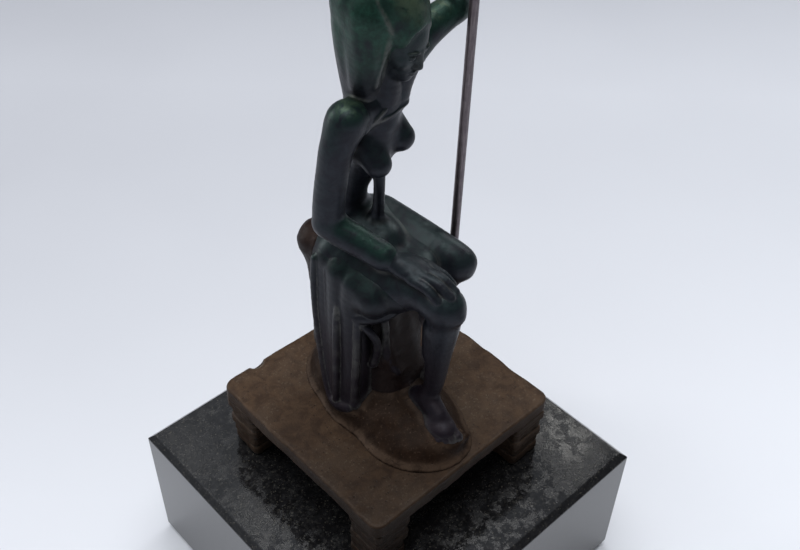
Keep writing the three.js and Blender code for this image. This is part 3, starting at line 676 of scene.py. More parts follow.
# ---------------------------------------------------------------- end of forms
# ---------------------------------------------------------------- materials
class Net:
    """A material's node tree, written as expressions. Texture space is in millimetres."""

    def __init__(self, name):
        self.m = bpy.data.materials.new(name)
        self.m.use_nodes = True
        self.t = self.m.node_tree
        self.t.nodes.clear()
        self.out = self.t.nodes.new("ShaderNodeOutputMaterial")
        self.b = self.t.nodes.new("ShaderNodeBsdfPrincipled")
        self.t.links.new(self.b.outputs[0], self.out.inputs[0])
        tc = self.t.nodes.new("ShaderNodeTexCoord")
        mp = self.t.nodes.new("ShaderNodeMapping")
        mp.inputs["Scale"].default_value = (1000, 1000, 1000)
        self.t.links.new(tc.outputs["Object"], mp.inputs["Vector"])
        self.mm = mp.outputs[0]

    def put(self, socket, value):
        if isinstance(value, bpy.types.NodeSocket):
            self.t.links.new(value, socket)
        elif isinstance(value, (tuple, list)) and len(value) == 3 and socket.type == "RGBA":
            socket.default_value = (*value, 1)
        else:
            socket.default_value = value

    def scaled(self, s):
        n = self.t.nodes.new("ShaderNodeMapping")
        n.inputs["Scale"].default_value = s
        self.t.links.new(self.mm, n.inputs["Vector"])
        return n.outputs[0]

    def noise(self, size, detail=3, rough=0.55, vector=None, distort=0.0):
        n = self.t.nodes.new("ShaderNodeTexNoise")
        self.t.links.new(vector or self.mm, n.inputs["Vector"])
        n.inputs["Scale"].default_value = 1 / size
        n.inputs["Detail"].default_value = detail
        n.inputs["Roughness"].default_value = rough
        n.inputs["Distortion"].default_value = distort
        return n.outputs["Fac"]

    def cells(self, size, feature="F1", output="Distance", vector=None):
        n = self.t.nodes.new("ShaderNodeTexVoronoi")
        n.feature = feature
        self.t.links.new(vector or self.mm, n.inputs["Vector"])
        n.inputs["Scale"].default_value = 1 / size
        return n.outputs[output]

    def ramp(self, fac, lo, hi, a=0.0, b=1.0):
        n = self.t.nodes.new("ShaderNodeMapRange")
        n.interpolation_type = "SMOOTHSTEP"
        self.put(n.inputs["Value"], fac)
        n.inputs["From Min"].default_value = lo
        n.inputs["From Max"].default_value = hi
        n.inputs["To Min"].default_value = a
        n.inputs["To Max"].default_value = b
        return n.outputs[0]

    def mix(self, fac, a, b, blend="MIX"):
        n = self.t.nodes.new("ShaderNodeMix")
        n.data_type = "RGBA"
        n.blend_type = blend
        self.put(n.inputs[0], fac)
        self.put(n.inputs[6], a)
        self.put(n.inputs[7], b)
        return n.outputs[2]

    def math(self, op, a, b=0.0, c=0.0):
        n = self.t.nodes.new("ShaderNodeMath")
        n.operation = op
        for i, v in enumerate((a, b, c)):
            self.put(n.inputs[i], v)
        return n.outputs[0]

    def attribute(self, name):
        n = self.t.nodes.new("ShaderNodeAttribute")
        n.attribute_name = name
        return n.outputs["Fac"]

    def split(self, vector):
        n = self.t.nodes.new("ShaderNodeSeparateXYZ")
        self.t.links.new(vector, n.inputs[0])
        return n.outputs

    def up(self):
        n = self.t.nodes.new("ShaderNodeNewGeometry")
        return self.split(n.outputs["Normal"])[2]

    def bump(self, height, distance, strength=1.0, under=None):
        n = self.t.nodes.new("ShaderNodeBump")
        n.inputs["Strength"].default_value = strength
        n.inputs["Distance"].default_value = distance * MM
        self.put(n.inputs["Height"], height)
        if under is not None:
            self.t.links.new(under, n.inputs["Normal"])
        return n.outputs[0]

    def done(self, color, rough, normal=None, **fixed):
        self.put(self.b.inputs["Base Color"], color)
        self.put(self.b.inputs["Roughness"], rough)
        if normal is not None:
            self.t.links.new(normal, self.b.inputs["Normal"])
        for k, v in fixed.items():
            self.b.inputs[k.replace("_", " ")].default_value = v
        return self.m


def bronze_figure(name, green, dark=1.0, rough=1.0, deep=0.6, rub_and_edge_highlight=0.55):
    """Dark waxed bronze with blue-green patina where it faces up, heavier there to stand in for light from above
    (painted top light), pale green painted highlights on the up-facing shoulders and crown, lighter metal on its
    ridges that is partly rubbed metal and partly painted edge highlight, and painted shade darkening its hollows.
    """
    n = Net(name)
    x, y, z = n.split(n.mm)
    wide, patch, mottle, fine = n.noise(11, 4, 0.6), n.noise(4.2, 5, 0.62, distort=0.6), n.noise(1.5, 4, 0.6), n.noise(0.45, 2)
    up = n.up()
    base = n.mix(n.ramp(patch, 0.34, 0.66), tuple(v * dark for v in (0.0095, 0.0098, 0.0150)), tuple(v * dark for v in (0.0150, 0.0175, 0.0240)))
    base = n.mix(n.ramp(mottle, 0.52, 0.8, 0, 0.4), base, (0.022 * dark, 0.018 * dark, 0.022 * dark))
    # teal on up-facing surfaces: partly the patina's own colour, partly painted top light, stronger the more the
    # surface faces up
    upward = n.ramp(up, -0.1, 0.85)
    teal = n.math("MULTIPLY", n.math("MULTIPLY", upward, n.ramp(patch, 0.26, 0.60)), green)
    teal = n.math("MULTIPLY", teal, n.ramp(z, 138, 156))
    base = n.mix(n.math("MINIMUM", teal, 1.0), base, (0.010, 0.034, 0.026))
    high = n.math("MULTIPLY", n.ramp(z, 212, 234), n.ramp(wide, 0.30, 0.56))
    vivid = n.mix(n.ramp(n.noise(2.2, 6, 0.72), 0.30, 0.72), (0.008, 0.025, 0.018), (0.018, 0.062, 0.043))
    base = n.mix(n.math("MINIMUM", n.math("MULTIPLY", high, 0.85 * green), 0.95), base, vivid)
    # painted highlight: pale green on the up-facing shoulders and on the crown, broken into blotches by the patch
    # noise
    painted_highlight = n.math("MULTIPLY", n.math("MULTIPLY", n.ramp(up, 0.45, 0.95), n.ramp(z, 196, 214)), n.ramp(patch, 0.40, 0.66))
    crown = n.math("MULTIPLY", n.math("MULTIPLY", n.ramp(up, 0.05, 0.5), n.ramp(z, 231, 238)), n.ramp(x, -1.0, 4.0))
    painted_highlight = n.math("MAXIMUM", painted_highlight, n.math("MULTIPLY", crown, n.ramp(patch, 0.30, 0.55)))
    base = n.mix(n.math("MINIMUM", n.math("MULTIPLY", painted_highlight, 0.6 * green), 0.9), base, (0.085, 0.115, 0.072))
    # painted shade: near-black where the surface is enclosed by other surfaces, scaled by deep
    occlusion_shade = n.ramp(n.attribute("occlusion_shade"), 0.14, 0.7)
    base = n.mix(n.math("MULTIPLY", occlusion_shade, deep), base, (0.0060, 0.0055, 0.0065))
    plum = n.math("MULTIPLY", n.ramp(z, 144, 114), n.ramp(patch, 0.25, 0.6, 0.5, 0.95))
    base = n.mix(plum, base, (0.0110, 0.0066, 0.0105))
    # lighter metal on ridges: partly rubbed metal, partly a painted edge highlight
    ridge = n.math("MULTIPLY", n.ramp(n.attribute("ridge"), 0.14, 0.48), n.ramp(mottle, 0.26, 0.56))
    base = n.mix(n.math("MULTIPLY", ridge, rub_and_edge_highlight), base, (0.105, 0.105, 0.096))
    r = n.math("MULTIPLY_ADD", mottle, 0.20, 0.30 * rough)
    r = n.math("ADD", r, n.math("MULTIPLY", plum, 0.14))
    r = n.math("ADD", r, n.math("MULTIPLY", occlusion_shade, 0.2))
    nrm = n.bump(fine, 0.06, 0.7)
    nrm = n.bump(n.noise(1.9, 4, 0.65), 0.14, 0.6, nrm)
    return n.done(base, r, nrm, Metallic=0.40, Specular_IOR_Level=0.26)


def bronze_cast(name, lighter=1.0, worn=1.0, near=0.45, spec=0.15, tint=(1.0, 1.0, 1.0)):
    """Brown patinated rough casting, pitted, rubbed lighter on its edges, which also stands in for lit edges (painted
    edge highlight), with painted shade in its hollows, on its sides and towards the front.
    """
    n = Net(name)
    wide, patch, grit, fine = n.noise(17, 4, 0.6), n.noise(4.5, 5, 0.65, distort=0.5), n.noise(0.9, 3, 0.65), n.noise(0.33, 2)
    base = n.mix(n.ramp(patch, 0.32, 0.68), tuple(v * lighter for v in (0.034, 0.0185, 0.0105)), tuple(v * lighter for v in (0.066, 0.0385, 0.0215)))
    base = n.mix(n.ramp(wide, 0.42, 0.70, 0, 0.6), base, tuple(v * lighter for v in (0.075, 0.050, 0.033)))
    tan = n.math("MULTIPLY", n.ramp(grit, 0.56, 0.72), n.ramp(wide, 0.36, 0.62))
    base = n.mix(n.math("MULTIPLY", tan, 0.55 * worn), base, (0.150, 0.118, 0.086))
    # lighter on ridges: partly rubbed metal, partly a painted edge highlight; worn scales it
    ridge = n.math("MULTIPLY", n.ramp(n.attribute("ridge"), 0.10, 0.5), n.ramp(patch, 0.25, 0.6))
    base = n.mix(n.math("MULTIPLY", ridge, 0.7 * worn), base, (0.125, 0.100, 0.076))
    pits = n.math("MULTIPLY", n.ramp(n.cells(1.7), 0.26, 0.08), n.ramp(n.noise(5.5, 3), 0.46, 0.6))
    base = n.mix(n.math("MULTIPLY", pits, 0.55), base, (0.008, 0.006, 0.005))
    # painted shade: darker where the surface is enclosed by other surfaces
    occlusion_shade = n.ramp(n.attribute("occlusion_shade"), 0.12, 0.6)
    base = n.mix(n.math("MULTIPLY", occlusion_shade, 0.75), base, (0.0085, 0.006, 0.0055))
    x, y, z = n.split(n.mm)
    # painted shade: the colour is multiplied down to near towards the front, standing in for light that comes from
    # behind
    away = n.math("ADD", n.math("MULTIPLY", x, 0.69), n.math("MULTIPLY", y, 0.72))
    # painted shade: surfaces that do not face up are darkened towards near-black
    side = n.ramp(n.up(), 0.3, 0.8, 0.62, 1.0)
    base = n.mix(1.0, base, n.mix(n.ramp(away, -48, 6), (near, near * 0.96, near * 0.92), (1, 1, 1)), "MULTIPLY")
    base = n.mix(n.math("SUBTRACT", 1.0, side), base, (0.006, 0.0045, 0.0045))
    base = n.mix(1.0, base, tint, "MULTIPLY")
    r = n.math("MULTIPLY_ADD", patch, 0.26, 0.38)
    nrm = n.bump(fine, 0.06, 0.7)
    nrm = n.bump(grit, 0.14, 0.7, nrm)
    nrm = n.bump(n.math("MULTIPLY", pits, -1.0), 0.16, 0.8, nrm)
    return n.done(base, r, nrm, Metallic=0.12, Specular_IOR_Level=spec)


def granite():
    """Polished black stone with fine grey and straw-coloured grains."""
    n = Net("polished_granite")
    grain, grain2, tone = n.cells(0.75, output="Color"), n.cells(0.42, output="Color"), n.noise(2.4, 3, 0.6)
    g, g2 = n.split(grain)[0], n.split(grain2)[1]
    base = n.mix(n.ramp(tone, 0.35, 0.7), (0.0055, 0.0055, 0.006), (0.012, 0.012, 0.013))
    base = n.mix(n.ramp(g, 0.84, 0.93, 0, 0.6), base, (0.026, 0.025, 0.023))
    base = n.mix(n.ramp(g2, 0.955, 0.985, 0, 0.7), base, (0.060, 0.056, 0.046))
    r = n.math("ADD", n.ramp(g, 0.5, 1.0, 0.045, 0.10), n.math("MULTIPLY", n.ramp(n.noise(5.5, 4, 0.7), 0.47, 0.56, 0.0, 0.22), n.ramp(n.up(), 0.6, 0.95)))
    nrm = n.bump(n.cells(0.55), 0.016, 0.6)
    nrm = n.bump(n.noise(9, 2), 0.05, 0.25, nrm)
    return n.done(base, r, nrm, IOR=1.6, Specular_IOR_Level=0.5)


def rod_metal(name, color, worn):
    """A drawn rod: fine marks along it, dull patina, small rubbed spots."""
    n = Net(name)
    along = n.noise(0.35, 3, 0.6, vector=n.scaled((1, 1, 0.05)))
    patch, fine = n.noise(3.0, 4, 0.6), n.noise(0.5, 2)
    base = n.mix(n.ramp(patch, 0.3, 0.7), tuple(v * 0.72 for v in color), color)
    base = n.mix(n.ramp(along, 0.45, 0.75, 0, 0.6), base, worn)
    base = n.mix(n.ramp(fine, 0.62, 0.8, 0, 0.5), base, (0.03, 0.025, 0.025))
    r = n.math("MULTIPLY_ADD", along, 0.22, 0.27)
    return n.done(base, r, n.bump(along, 0.03, 0.6), Metallic=0.75)


def steel():
    n = Net("zinc_steel")
    patch, fine = n.noise(1.8, 4), n.noise(0.35, 2)
    base = n.mix(n.ramp(patch, 0.3, 0.7), (0.34, 0.35, 0.36), (0.52, 0.53, 0.55))
    base = n.mix(n.ramp(fine, 0.6, 0.85, 0, 0.5), base, (0.20, 0.18, 0.15))
    return n.done(base, n.math("MULTIPLY_ADD", fine, 0.25, 0.28), n.bump(fine, 0.02, 0.5), Metallic=0.9)


def felt():
    n = Net("green_felt")
    hair, tuft = n.noise(0.22, 4, 0.7, distort=1.5), n.noise(1.1, 3)
    base = n.mix(n.ramp(hair, 0.3, 0.7), (0.008, 0.022, 0.012), (0.030, 0.070, 0.040))
    base = n.mix(n.ramp(tuft, 0.4, 0.75, 0, 0.5), base, (0.045, 0.085, 0.055))
    return n.done(base, 0.95, n.bump(hair, 0.18, 0.9), Sheen_Weight=0.5, Sheen_Roughness=0.5)


GREEN = bronze_figure("bronze_blue_green", 1.0, dark=1.25)
HAIRY = bronze_figure("bronze_green_hair", 1.25, dark=0.85)
DARK = bronze_figure("bronze_near_black", 0.40, dark=1.25)
HAND = bronze_figure("bronze_near_black_rubbed", 0.2, dark=1.15, rough=1.15, rub_and_edge_highlight=0.35)
FACE = bronze_figure("bronze_near_black_face", 0.35, dark=1.15, deep=0.22, rub_and_edge_highlight=0.2)
SHIN = bronze_figure("bronze_near_black_leg", 0.40, dark=1.15, rub_and_edge_highlight=0.35)
SKIRT = bronze_figure("bronze_blue_green_skirt", 0.6, dark=0.8, rough=0.95)
BROWN = bronze_cast("bronze_brown_plinth")
ROCK = bronze_cast("bronze_brown_rock", lighter=0.28, worn=0.5, near=0.8, spec=0.07, tint=(1.15, 1.0, 0.95))
SEATM = bronze_cast("bronze_brown_seat", lighter=0.30, worn=0.04, near=0.75, spec=0.12, tint=(1.1, 0.97, 1.22))
STONE, STEEL, FELT = granite(), steel(), felt()
RODM = rod_metal("rod_purple_brown", (0.135, 0.112, 0.122), (0.27, 0.235, 0.235))
SOCKETM = rod_metal("socket_brass_dull", (0.12, 0.085, 0.05), (0.26, 0.19, 0.11))

# ---------------------------------------------------------------- pieces


def mesh_object(name, verts, faces, material, smooth=True, facts=None):
    """A mesh from millimetre points and faces of one size."""
    me = bpy.data.meshes.new(name)
    verts, faces = np.asarray(verts, float), np.asarray(faces, int)
    me.vertices.add(len(verts))
    me.vertices.foreach_set("co", (verts * MM).astype(np.float32).ravel())
    n, k = faces.shape
    me.loops.add(n * k)
    me.loops.foreach_set("vertex_index", faces.astype(np.int32).ravel())
    me.polygons.add(n)
    me.polygons.foreach_set("loop_start", np.arange(0, n * k, k, dtype=np.int32))
    me.polygons.foreach_set("use_smooth", np.full(n, smooth, dtype=bool))
    me.update(calc_edges=True)
    me.validate()
    for key, values in (facts or {}).items():
        a = me.attributes.new(key, "FLOAT", "POINT")
        a.data.foreach_set("value", np.asarray(values, np.float32))
    o = bpy.data.objects.new(name, me)
    bpy.context.scene.collection.objects.link(o)
    me.materials.append(material)
    return o


def settle(o, body, slot, *nodes):
    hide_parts(*nodes)
    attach(o, body)
    return o


LOOKS = {
    "torso": (DARK, "bronze_dark"), "right_leg": (SHIN, "bronze_dark"), "left_leg": (SHIN, "bronze_dark"),
    "right_arm": (GREEN, "bronze_green"), "left_arm": (GREEN, "bronze_green"), "skirt_drape": (SKIRT, "bronze_green"),
    "rock_seat": (SEATM, "bronze_brown"), "rock_base": (ROCK, "bronze_brown"), "head": (FACE, "bronze_dark"),
    "hair": (HAIRY, "bronze_green"), "right_hand": (HAND, "bronze_dark"), "left_hand": (HAND, "bronze_dark"),
}
for piece in GROUPS:
    v, q, facts = cast_piece(piece)
    look, slot_name = LOOKS[piece]
    settle(mesh_object("cast_" + piece, v, q, look, facts=facts), "trophy", slot_name, piece)


class Plate:
    """A flat plate with round corners in plan and softened edges."""

    def __init__(self, c, half, corner, edge):
        self.c, self.half, self.corner, self.edge = np.array(c, float), np.array(half, float), corner, edge

    def at(self, x, y, z):
        px, py, pz = x - self.c[0], y - self.c[1], z - self.c[2]
        a, b = np.abs(px) - self.half[0] + self.corner, np.abs(py) - self.half[1] + self.corner
        plan = np.sqrt(np.maximum(a, 0) ** 2 + np.maximum(b, 0) ** 2) + np.minimum(np.maximum(a, b), 0) - self.corner
        u, v = plan + self.edge, np.abs(pz) - self.half[2] + self.edge
        return np.sqrt(np.maximum(u, 0) ** 2 + np.maximum(v, 0) ** 2) + np.minimum(np.maximum(u, v), 0) - self.edge


def carve(name, lo, hi, h, shape, rough, cuts=()):
    """A casting made from one distance function: rough(points) is added near its surface, cuts are taken away."""
    window = Window(np.array(lo) - 1.6, np.array(hi) + 1.6, h)
    full = tuple(slice(0, n) for n in window.shape)
    g = window.grids(full)
    f = (shape(*g) + np.zeros(window.shape)).astype(np.float32)
    plain = f.copy()
    near = np.abs(f) < 1.5
    p = np.argwhere(near) * h + window.lo
    f[near] += rough(p).astype(np.float32)
    for c in cuts:
        f = smax(f, -c.at(*g).astype(np.float32), 0.25)
    v, q = skin(f, window)
    v, q, _ = biggest(v, q)
    n = slope(plain, window, v)
    n /= np.maximum(np.linalg.norm(n, axis=1, keepdims=True), 1e-6)
    ridge = np.clip((sample(f, window, v - n * 1.3) + 1.3) / 1.3, 0, 1)
    # painted shade mask: how far the surface is enclosed, read by the material to darken it
    occlusion_shade = np.clip(1 - sample(f, window, v + n * 1.1) / 1.1, 0, 1)
    return v, q, {"ridge": ridge, "occlusion_shade": occlusion_shade}


# the table top
top = Plate((PX, PY, (PLINTH_TOP + SLAB_BOTTOM) / 2), (42.4, 42.4, 3.15), 4.2, 1.15)


def slab_rough(p):
    side = np.clip((np.maximum(np.abs(p[:, 0] - PX), np.abs(p[:, 1] - PY)) - 38.5) / 3.5, 0, 1)
    soft = 0.24 * noise(p * np.array([1, 1, 0.35]), 11, 41) * side + 0.12 * noise(p, 3.6, 42) * (0.35 + side)
    pits = layered(p, 1.5, 43, 2)
    return soft + 0.05 * layered(p, 2.6, 44, 3) + 0.16 * np.clip(pits - 0.42, 0, 1) + 0.16 * side * np.clip(0.5 + noise(p, 7.0, 46), 0, 1) ** 2


slab_cuts = [
    Egg((-26, 44.3, 89.3), (3.2, 2.6, 2.4), rot=(0, 0, 0.2)),
    Egg((-8.5, 44.9, 89.9), (2.2, 1.6, 1.3)),
    Egg((43.6, -22.0, 84.4), (1.2, 2.4, 1.4)),
    Egg((-12.0, -41.6, 83.6), (2.6, 1.1, 1.2)),
    Cone((STAFF_FOOT[0] - 0.06, STAFF_FOOT[1], 80.0, 1.95), (STAFF_FOOT[0] - 0.06, STAFF_FOOT[1], 92.0, 1.95)),
] + [Cone((x, y, 80.0, 2.3), (x, y, 92.0, 2.3)) for x, y in STUDS]
v, q, facts = carve("slab", (PX - 42.4, PY - 42.4, SLAB_BOTTOM), (PX + 42.4, PY + 42.4, PLINTH_TOP), 0.42, top.at, slab_rough, slab_cuts)
settle(mesh_object("cast_plinth_slab", v, q, BROWN, facts=facts), "trophy", "bronze_brown", "plinth_slab")

# the stacked corner legs
for number, leg in enumerate(("front_left", "front_right", "back_left", "back_right")):
    lo, hi = (np.array(c) * 1000 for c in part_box("plinth_leg_" + leg))
    mid = (lo + hi) / 2
    layers = []
    rng = np.random.default_rng(70 + number)
    tall = (hi[2] - lo[2]) / 5
    for i in range(5):
        half = 7.75 - (0.0, 0.5, 0.15, 0.8, 0.6)[4 - i]
        shift = rng.uniform(-0.32, 0.32, 2)
        layers.append(Plate((mid[0] + shift[0], mid[1] + shift[1], lo[2] + tall * (i + 0.5)), (half, half, tall / 2 + 0.12), 1.9, 1.35))

    def stacked(x, y, z, layers=layers):
        f = layers[0].at(x, y, z)
        for s in layers[1:]:
            f = smin(f, s.at(x, y, z), 0.55)
        return f

    def leg_rough(p, number=number):
        return 0.42 * noise(p * np.array([1, 1, 0.8]), 4.6, 81 + number) + 0.16 * noise(p, 1.8, 85) + 0.07 * noise(p, 0.9, 86)

    v, q, facts = carve(leg, lo, hi, 0.36, stacked, leg_rough, [Cone((mid[0], mid[1], 40.0, 2.3), (mid[0], mid[1], 73.0, 2.3))])
    v[:, 2] = np.clip(v[:, 2], lo[2], hi[2])
    settle(mesh_object("cast_leg_" + leg, v, q, BROWN, facts=facts), "trophy", "bronze_brown", "plinth_leg_" + leg)

# the granite block: the frame's own solid with its sharp edges rounded as a polisher leaves them
bm = bmesh.new()
bm.from_mesh(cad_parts["granite_block"].data)
bmesh.ops.remove_doubles(bm, verts=bm.verts, dist=1e-6)
bmesh.ops.dissolve_limit(bm, angle_limit=math.radians(0.5), verts=bm.verts, edges=bm.edges)
sharp = [e for e in bm.edges if len(e.link_faces) == 2 and e.calc_face_angle(0) > math.radians(28) and e.calc_length() > 0.02]
bmesh.ops.bevel(bm, geom=sharp, offset=0.00035, segments=3, profile=0.5, affect="EDGES", clamp_overlap=True)
for f in bm.faces:
    f.smooth = False
me = bpy.data.meshes.new("stone_block")
bm.to_mesh(me)
bm.free()
me.materials.append(STONE)
block = bpy.data.objects.new("stone_block", me)
bpy.context.scene.collection.objects.link(block)
settle(block, "trophy", "granite", "granite_block")


def turned(name, profile, material, origin, tilt=0.0, around=56, wobble=0.0, seed=0):
    """A closed turned piece: profile is (radius, height) in millimetres from its lower end to its upper end."""
    rings, faces = [], []
    rng = np.random.default_rng(seed)
    phase = rng.uniform(0, 6.28, 3)
    verts = []
    axis = Vector((tilt, 0, 1)).normalized()
    turn_to = Vector((0, 0, 1)).rotation_difference(axis).to_matrix()
    closed = profile[0][0] > 1e-6
    for r, h in profile:
        if r <= 1e-6:
            rings.append([len(verts)])
            verts.append(Vector(origin) + turn_to @ Vector((0, 0, h)))
            continue
        row = []
        for j in range(around):
            a = 2 * math.pi * j / around
            rr = r * (1 + wobble * math.sin(3 * a + phase[0] + h * 0.6))
            row.append(len(verts))
            verts.append(Vector(origin) + turn_to @ Vector((rr * math.cos(a), rr * math.sin(a), h)))
        rings.append(row)
    bm = bmesh.new()
    vs = [bm.verts.new(v * MM) for v in verts]
    pairs = list(zip(rings, rings[1:] + ([rings[0]] if closed else [])))
    for lower, upper in (pairs if closed else pairs):
        if len(lower) == 1 and len(upper) == 1:
            continue
        for j in range(around):
            k = (j + 1) % around
            if len(lower) == 1:
                bm.faces.new([vs[lower[0]], vs[upper[k]], vs[upper[j]]])
            elif len(upper) == 1:
                bm.faces.new([vs[lower[j]], vs[lower[k]], vs[upper[0]]])
            else:
                bm.faces.new([vs[lower[j]], vs[lower[k]], vs[upper[k]], vs[upper[j]]])
    bmesh.ops.recalc_face_normals(bm, faces=bm.faces)
    for f in bm.faces:
        f.smooth = True
    for e in bm.edges:
        if len(e.link_faces) == 2 and e.calc_face_angle(0) > math.radians(35):
            e.smooth = False
    me = bpy.data.meshes.new(name)
    bm.to_mesh(me)
    bm.free()
    me.materials.append(material)
    o = bpy.data.objects.new(name, me)
    bpy.context.scene.collection.objects.link(o)
    return o


foot = tuple(STAFF_FOOT)
LEN = 193.0
rod = [(0, 2.6), (1.15, 2.6), (1.38, 2.72), (1.5, 3.0)] + [(1.5, 3.0 + (LEN - 3.4) * i / 48) for i in range(1, 48)] + [(1.5, LEN - 0.3), (1.4, LEN - 0.08), (1.2, LEN), (0, LEN)]
settle(turned("staff_rod", rod, RODM, foot, STAFF_TILT, 40, 0.006, 3), "staff", "staff_metal", "staff")


def smooth_profile(points, steps=5):
    """Points of a turned shape, rounded between its corners."""
    out = []
    n = len(points)
    for i in range(n - 1):
        p0, p1, p2, p3 = points[max(i - 1, 0)], points[i], points[i + 1], points[min(i + 2, n - 1)]
        for s in range(steps):
            t = s / steps
            out.append(tuple(
                max(0.0, 0.5 * (2 * p1[a] + (p2[a] - p0[a]) * t + (2 * p0[a] - 5 * p1[a] + 4 * p2[a] - p3[a]) * t * t + (3 * p1[a] - p0[a] - 3 * p2[a] + p3[a]) * t**3))
                if a == 0 else
                0.5 * (2 * p1[a] + (p2[a] - p0[a]) * t + (2 * p0[a] - 5 * p1[a] + 4 * p2[a] - p3[a]) * t * t + (3 * p1[a] - p0[a] - 3 * p2[a] + p3[a]) * t**3)
                for a in (0, 1)))
    out.append(points[-1])
    return out


knob = [(0, LEN + 0.32), (1.7, LEN + 0.32), (1.8, LEN + 0.2), (1.8, LEN - 6), (2.25, LEN - 6), (2.4, LEN - 5.8), (2.4, LEN - 4.75), (2.25, LEN - 4.5)]
knob += smooth_profile([(2.0, LEN - 3.95), (2.45, LEN - 2.9), (2.9, LEN - 1.5), (3.1, LEN + 0.5), (2.65, LEN + 2.5), (1.5, LEN + 4.0), (0.7, LEN + 4.45)])
knob += [(0.3, LEN + 4.58), (0, LEN + 4.6)]
settle(turned("staff_knob", knob, RODM, foot, STAFF_TILT, 56), "staff", "staff_metal", "staff_finial")
cup = [(0, -10.5), (1.2, -10.5), (1.5, -10.2), (1.5, 0.35), (2.7, 0.35), (2.9, 0.5), (2.9, 1.1), (2.7, 1.6), (2.62, 3.0), (2.7, 4.6), (2.72, 6.0), (2.55, 6.5), (2.3, 6.6), (1.95, 6.55), (1.85, 6.3), (1.85, 2.35), (0, 2.3)]
settle(turned("staff_cup", cup, SOCKETM, foot, STAFF_TILT, 56), "trophy", "staff_metal", "staff_socket")

# felt pads: pressed discs with a soft rim
for i in range(1, 5):
    lo, hi = (np.array(c) * 1000 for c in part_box("felt_pad_%d" % i))
    mid, r, t = (lo + hi) / 2, (hi[0] - lo[0]) / 2, hi[2] - lo[2]
    pad = [(0, 0.0), (r - 1.5, 0.0), (r - 0.5, 0.06), (r - 0.12, 0.3), (r, 0.75), (r - 0.15, t - 0.2), (r - 0.5, t), (0, t)]
    settle(turned("pad_%d" % i, pad, FELT, (mid[0], mid[1], lo[2]), 0, 48, 0.008, i), "trophy", "felt", "felt_pad_%d" % i)

# the hidden fasteners keep the frame's own solids
for name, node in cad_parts.items():
    if not node.hide_render:
        node.data.materials.clear()
        node.data.materials.append(STEEL)

# ---------------------------------------------------------------- floor, light, camera
scene = bpy.context.scene
scene.view_settings.view_transform = "Standard"
scene.view_settings.look = "None"
scene.view_settings.exposure = 0
scene.view_settings.gamma = 1

net = Net("pale_paper")
fx, fy, _ = net.split(net.mm)
# painted light: the paper's colour is graded to stand in for its uneven lighting, darker towards the back and the left
# and in a band across the middle distance
away = net.math("MULTIPLY", net.math("ADD", net.math("MULTIPLY", fx, 0.69), net.math("MULTIPLY", fy, 0.72)), 1 / 400)
aside = net.math("MULTIPLY", net.math("SUBTRACT", net.math("MULTIPLY", fx, 0.72), net.math("MULTIPLY", fy, 0.69)), 1 / 400)
tone = net.math("MULTIPLY_ADD", away, -0.223, 0.758)
tone = net.math("MULTIPLY_ADD", aside, 0.156, tone)
tone = net.math("MULTIPLY_ADD", net.math("MULTIPLY", away, aside), -0.094, tone)
middle = net.math("MULTIPLY", net.math("SUBTRACT", away, 0.45), 2.4)
middle = net.math("MAXIMUM", net.math("SUBTRACT", 1.0, net.math("MULTIPLY", middle, middle)), 0.0)
tone = net.math("MULTIPLY_ADD", middle, -0.055, tone)
tone = net.math("ADD", tone, net.ramp(net.noise(160, 2, 0.5), 0.3, 0.7, -0.008, 0.008))
tone = net.math("DIVIDE", net.math("SUBTRACT", tone, 0.46), 0.36)
tone = net.math("MINIMUM", net.math("MAXIMUM", tone, 0.0), 1.0)
paper = net.done(net.mix(tone, (0.460, 0.473, 0.515), (0.820, 0.842, 0.892)), 0.85, net.bump(net.noise(2.5, 3), 0.02, 0.2), Specular_IOR_Level=0.1)
n = 40
xs = np.linspace(-2200, 2200, n + 1)
verts = [(x, y, 0.0) for y in xs for x in xs]
faces = [(j * (n + 1) + i, j * (n + 1) + i + 1, (j + 1) * (n + 1) + i + 1, (j + 1) * (n + 1) + i) for j in range(n) for i in range(n)]
floor = mesh_object("paper_floor", verts, faces, paper)
floor.location.z = -0.00005

world = bpy.data.worlds.new("room")
scene.world = world
world.use_nodes = True
wt = world.node_tree
wt.nodes.clear()
wo, wb = wt.nodes.new("ShaderNodeOutputWorld"), wt.nodes.new("ShaderNodeBackground")
wc, ws, wm, wr = wt.nodes.new("ShaderNodeTexCoord"), wt.nodes.new("ShaderNodeVectorMath"), wt.nodes.new("ShaderNodeMapRange"), wt.nodes.new("ShaderNodeMix")
ws.operation = "DOT_PRODUCT"
ws.inputs[1].default_value = (-0.30, 0.35, 0.88)
wt.links.new(wc.outputs["Generated"], ws.inputs[0])
wm.interpolation_type = "SMOOTHSTEP"
wm.inputs["From Min"].default_value = 0.35
wm.inputs["From Max"].default_value = 1.0
wt.links.new(ws.outputs["Value"], wm.inputs["Value"])
wr.data_type = "RGBA"
wt.links.new(wm.outputs[0], wr.inputs[0])
wr.inputs[6].default_value = (0.085, 0.088, 0.098, 1)
wr.inputs[7].default_value = (0.50, 0.53, 0.58, 1)
wt.links.new(wr.outputs[2], wb.inputs[0])
wb.inputs[1].default_value = 1.0
wt.links.new(wb.outputs[0], wo.inputs[0])


EYE = Vector((-0.163566, -0.176228, 0.367976))


def gleam(x, y, far=1.3):
    """Where a lamp has to stand for its image to lie at (x, y) on the polished top."""
    p = Vector((x, y, BLOCK_TOP * MM))
    d = (p - EYE).normalized()
    return p + Vector((d.x, d.y, -d.z)) * far


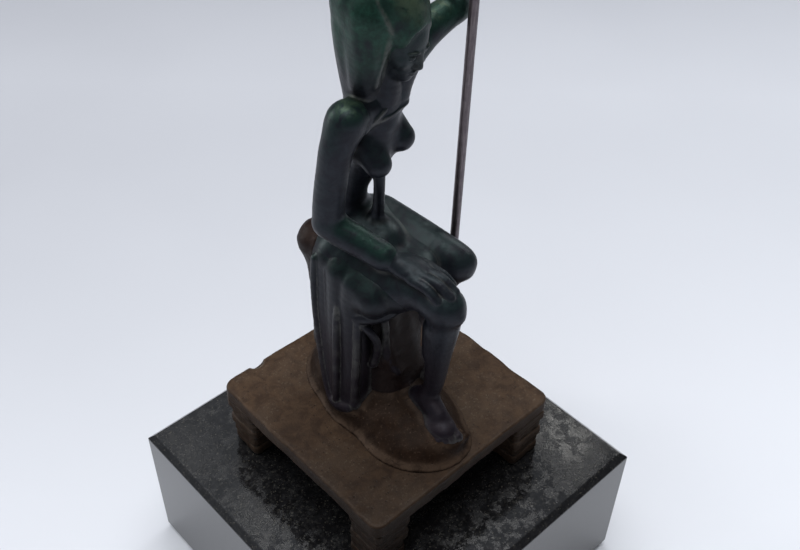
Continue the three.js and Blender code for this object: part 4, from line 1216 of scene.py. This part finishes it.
def area(name, at, to, size, power, color=(1, 1, 1)):
    light = bpy.data.lights.new(name, "AREA")
    light.shape = "RECTANGLE"
    light.size, light.size_y = size
    light.energy, light.color = power, color
    o = bpy.data.objects.new(name, light)
    o.location = at
    o.rotation_euler = (Vector(to) - Vector(at)).to_track_quat("-Z", "Y").to_euler()
    scene.collection.objects.link(o)
    return o


area("soft_top", (0.0, 0.05, 1.40), (0.0, 0.0, 0.0), (1.15, 1.0), 15.8, (1.0, 1.0, 1.0))
area("soft_left", (-0.70, 1.15, 0.50), (0, 0, 0.16), (0.30, 0.9), 6.5, (1.0, 0.99, 0.97))
area("soft_right", (1.15, 0.15, 0.75), (0, 0, 0.15), (0.4, 0.7), 3.4, (0.97, 0.99, 1.0))
# five far bright patches, placed so that the polish of the stone mirrors them
for i, (gx, gy, size, power) in enumerate([(0.0545, -0.0300, 0.060, 0.022), (0.0575, -0.0420, 0.040, 0.026), (0.0500, -0.0530, 0.045, 0.014), (-0.0600, 0.0470, 0.060, 0.007), (-0.0540, 0.0080, 0.045, 0.012)]):
    area("gleam_%d" % i, gleam(gx, gy), (gx, gy, 0.0605), (size, size * 0.7), power, (1.0, 0.99, 0.95))

az, el, roll, focal = -0.7632, 0.7413, 0.0217, 1009.8
eye = EYE
back = Vector((math.sin(az) * math.cos(el), -math.cos(az) * math.cos(el), math.sin(el)))
right = (-back).cross(Vector((0, 0, 1))).normalized()
upward = right.cross(-back).normalized()
cx = right * math.cos(roll) + upward * math.sin(roll)
cy = -right * math.sin(roll) + upward * math.cos(roll)
lens = bpy.data.cameras.new("camera")
lens.sensor_fit, lens.sensor_width, lens.lens = "HORIZONTAL", 36.0, focal * 36.0 / 800.0
lens.clip_start, lens.clip_end = 0.01, 20.0
camera = bpy.data.objects.new("camera", lens)
camera.matrix_world = Matrix(((cx.x, cy.x, back.x, eye.x), (cx.y, cy.y, back.y, eye.y), (cx.z, cy.z, back.z, eye.z), (0, 0, 0, 1)))
scene.collection.objects.link(camera)
scene.camera = camera

bpy.context.view_layer.update()
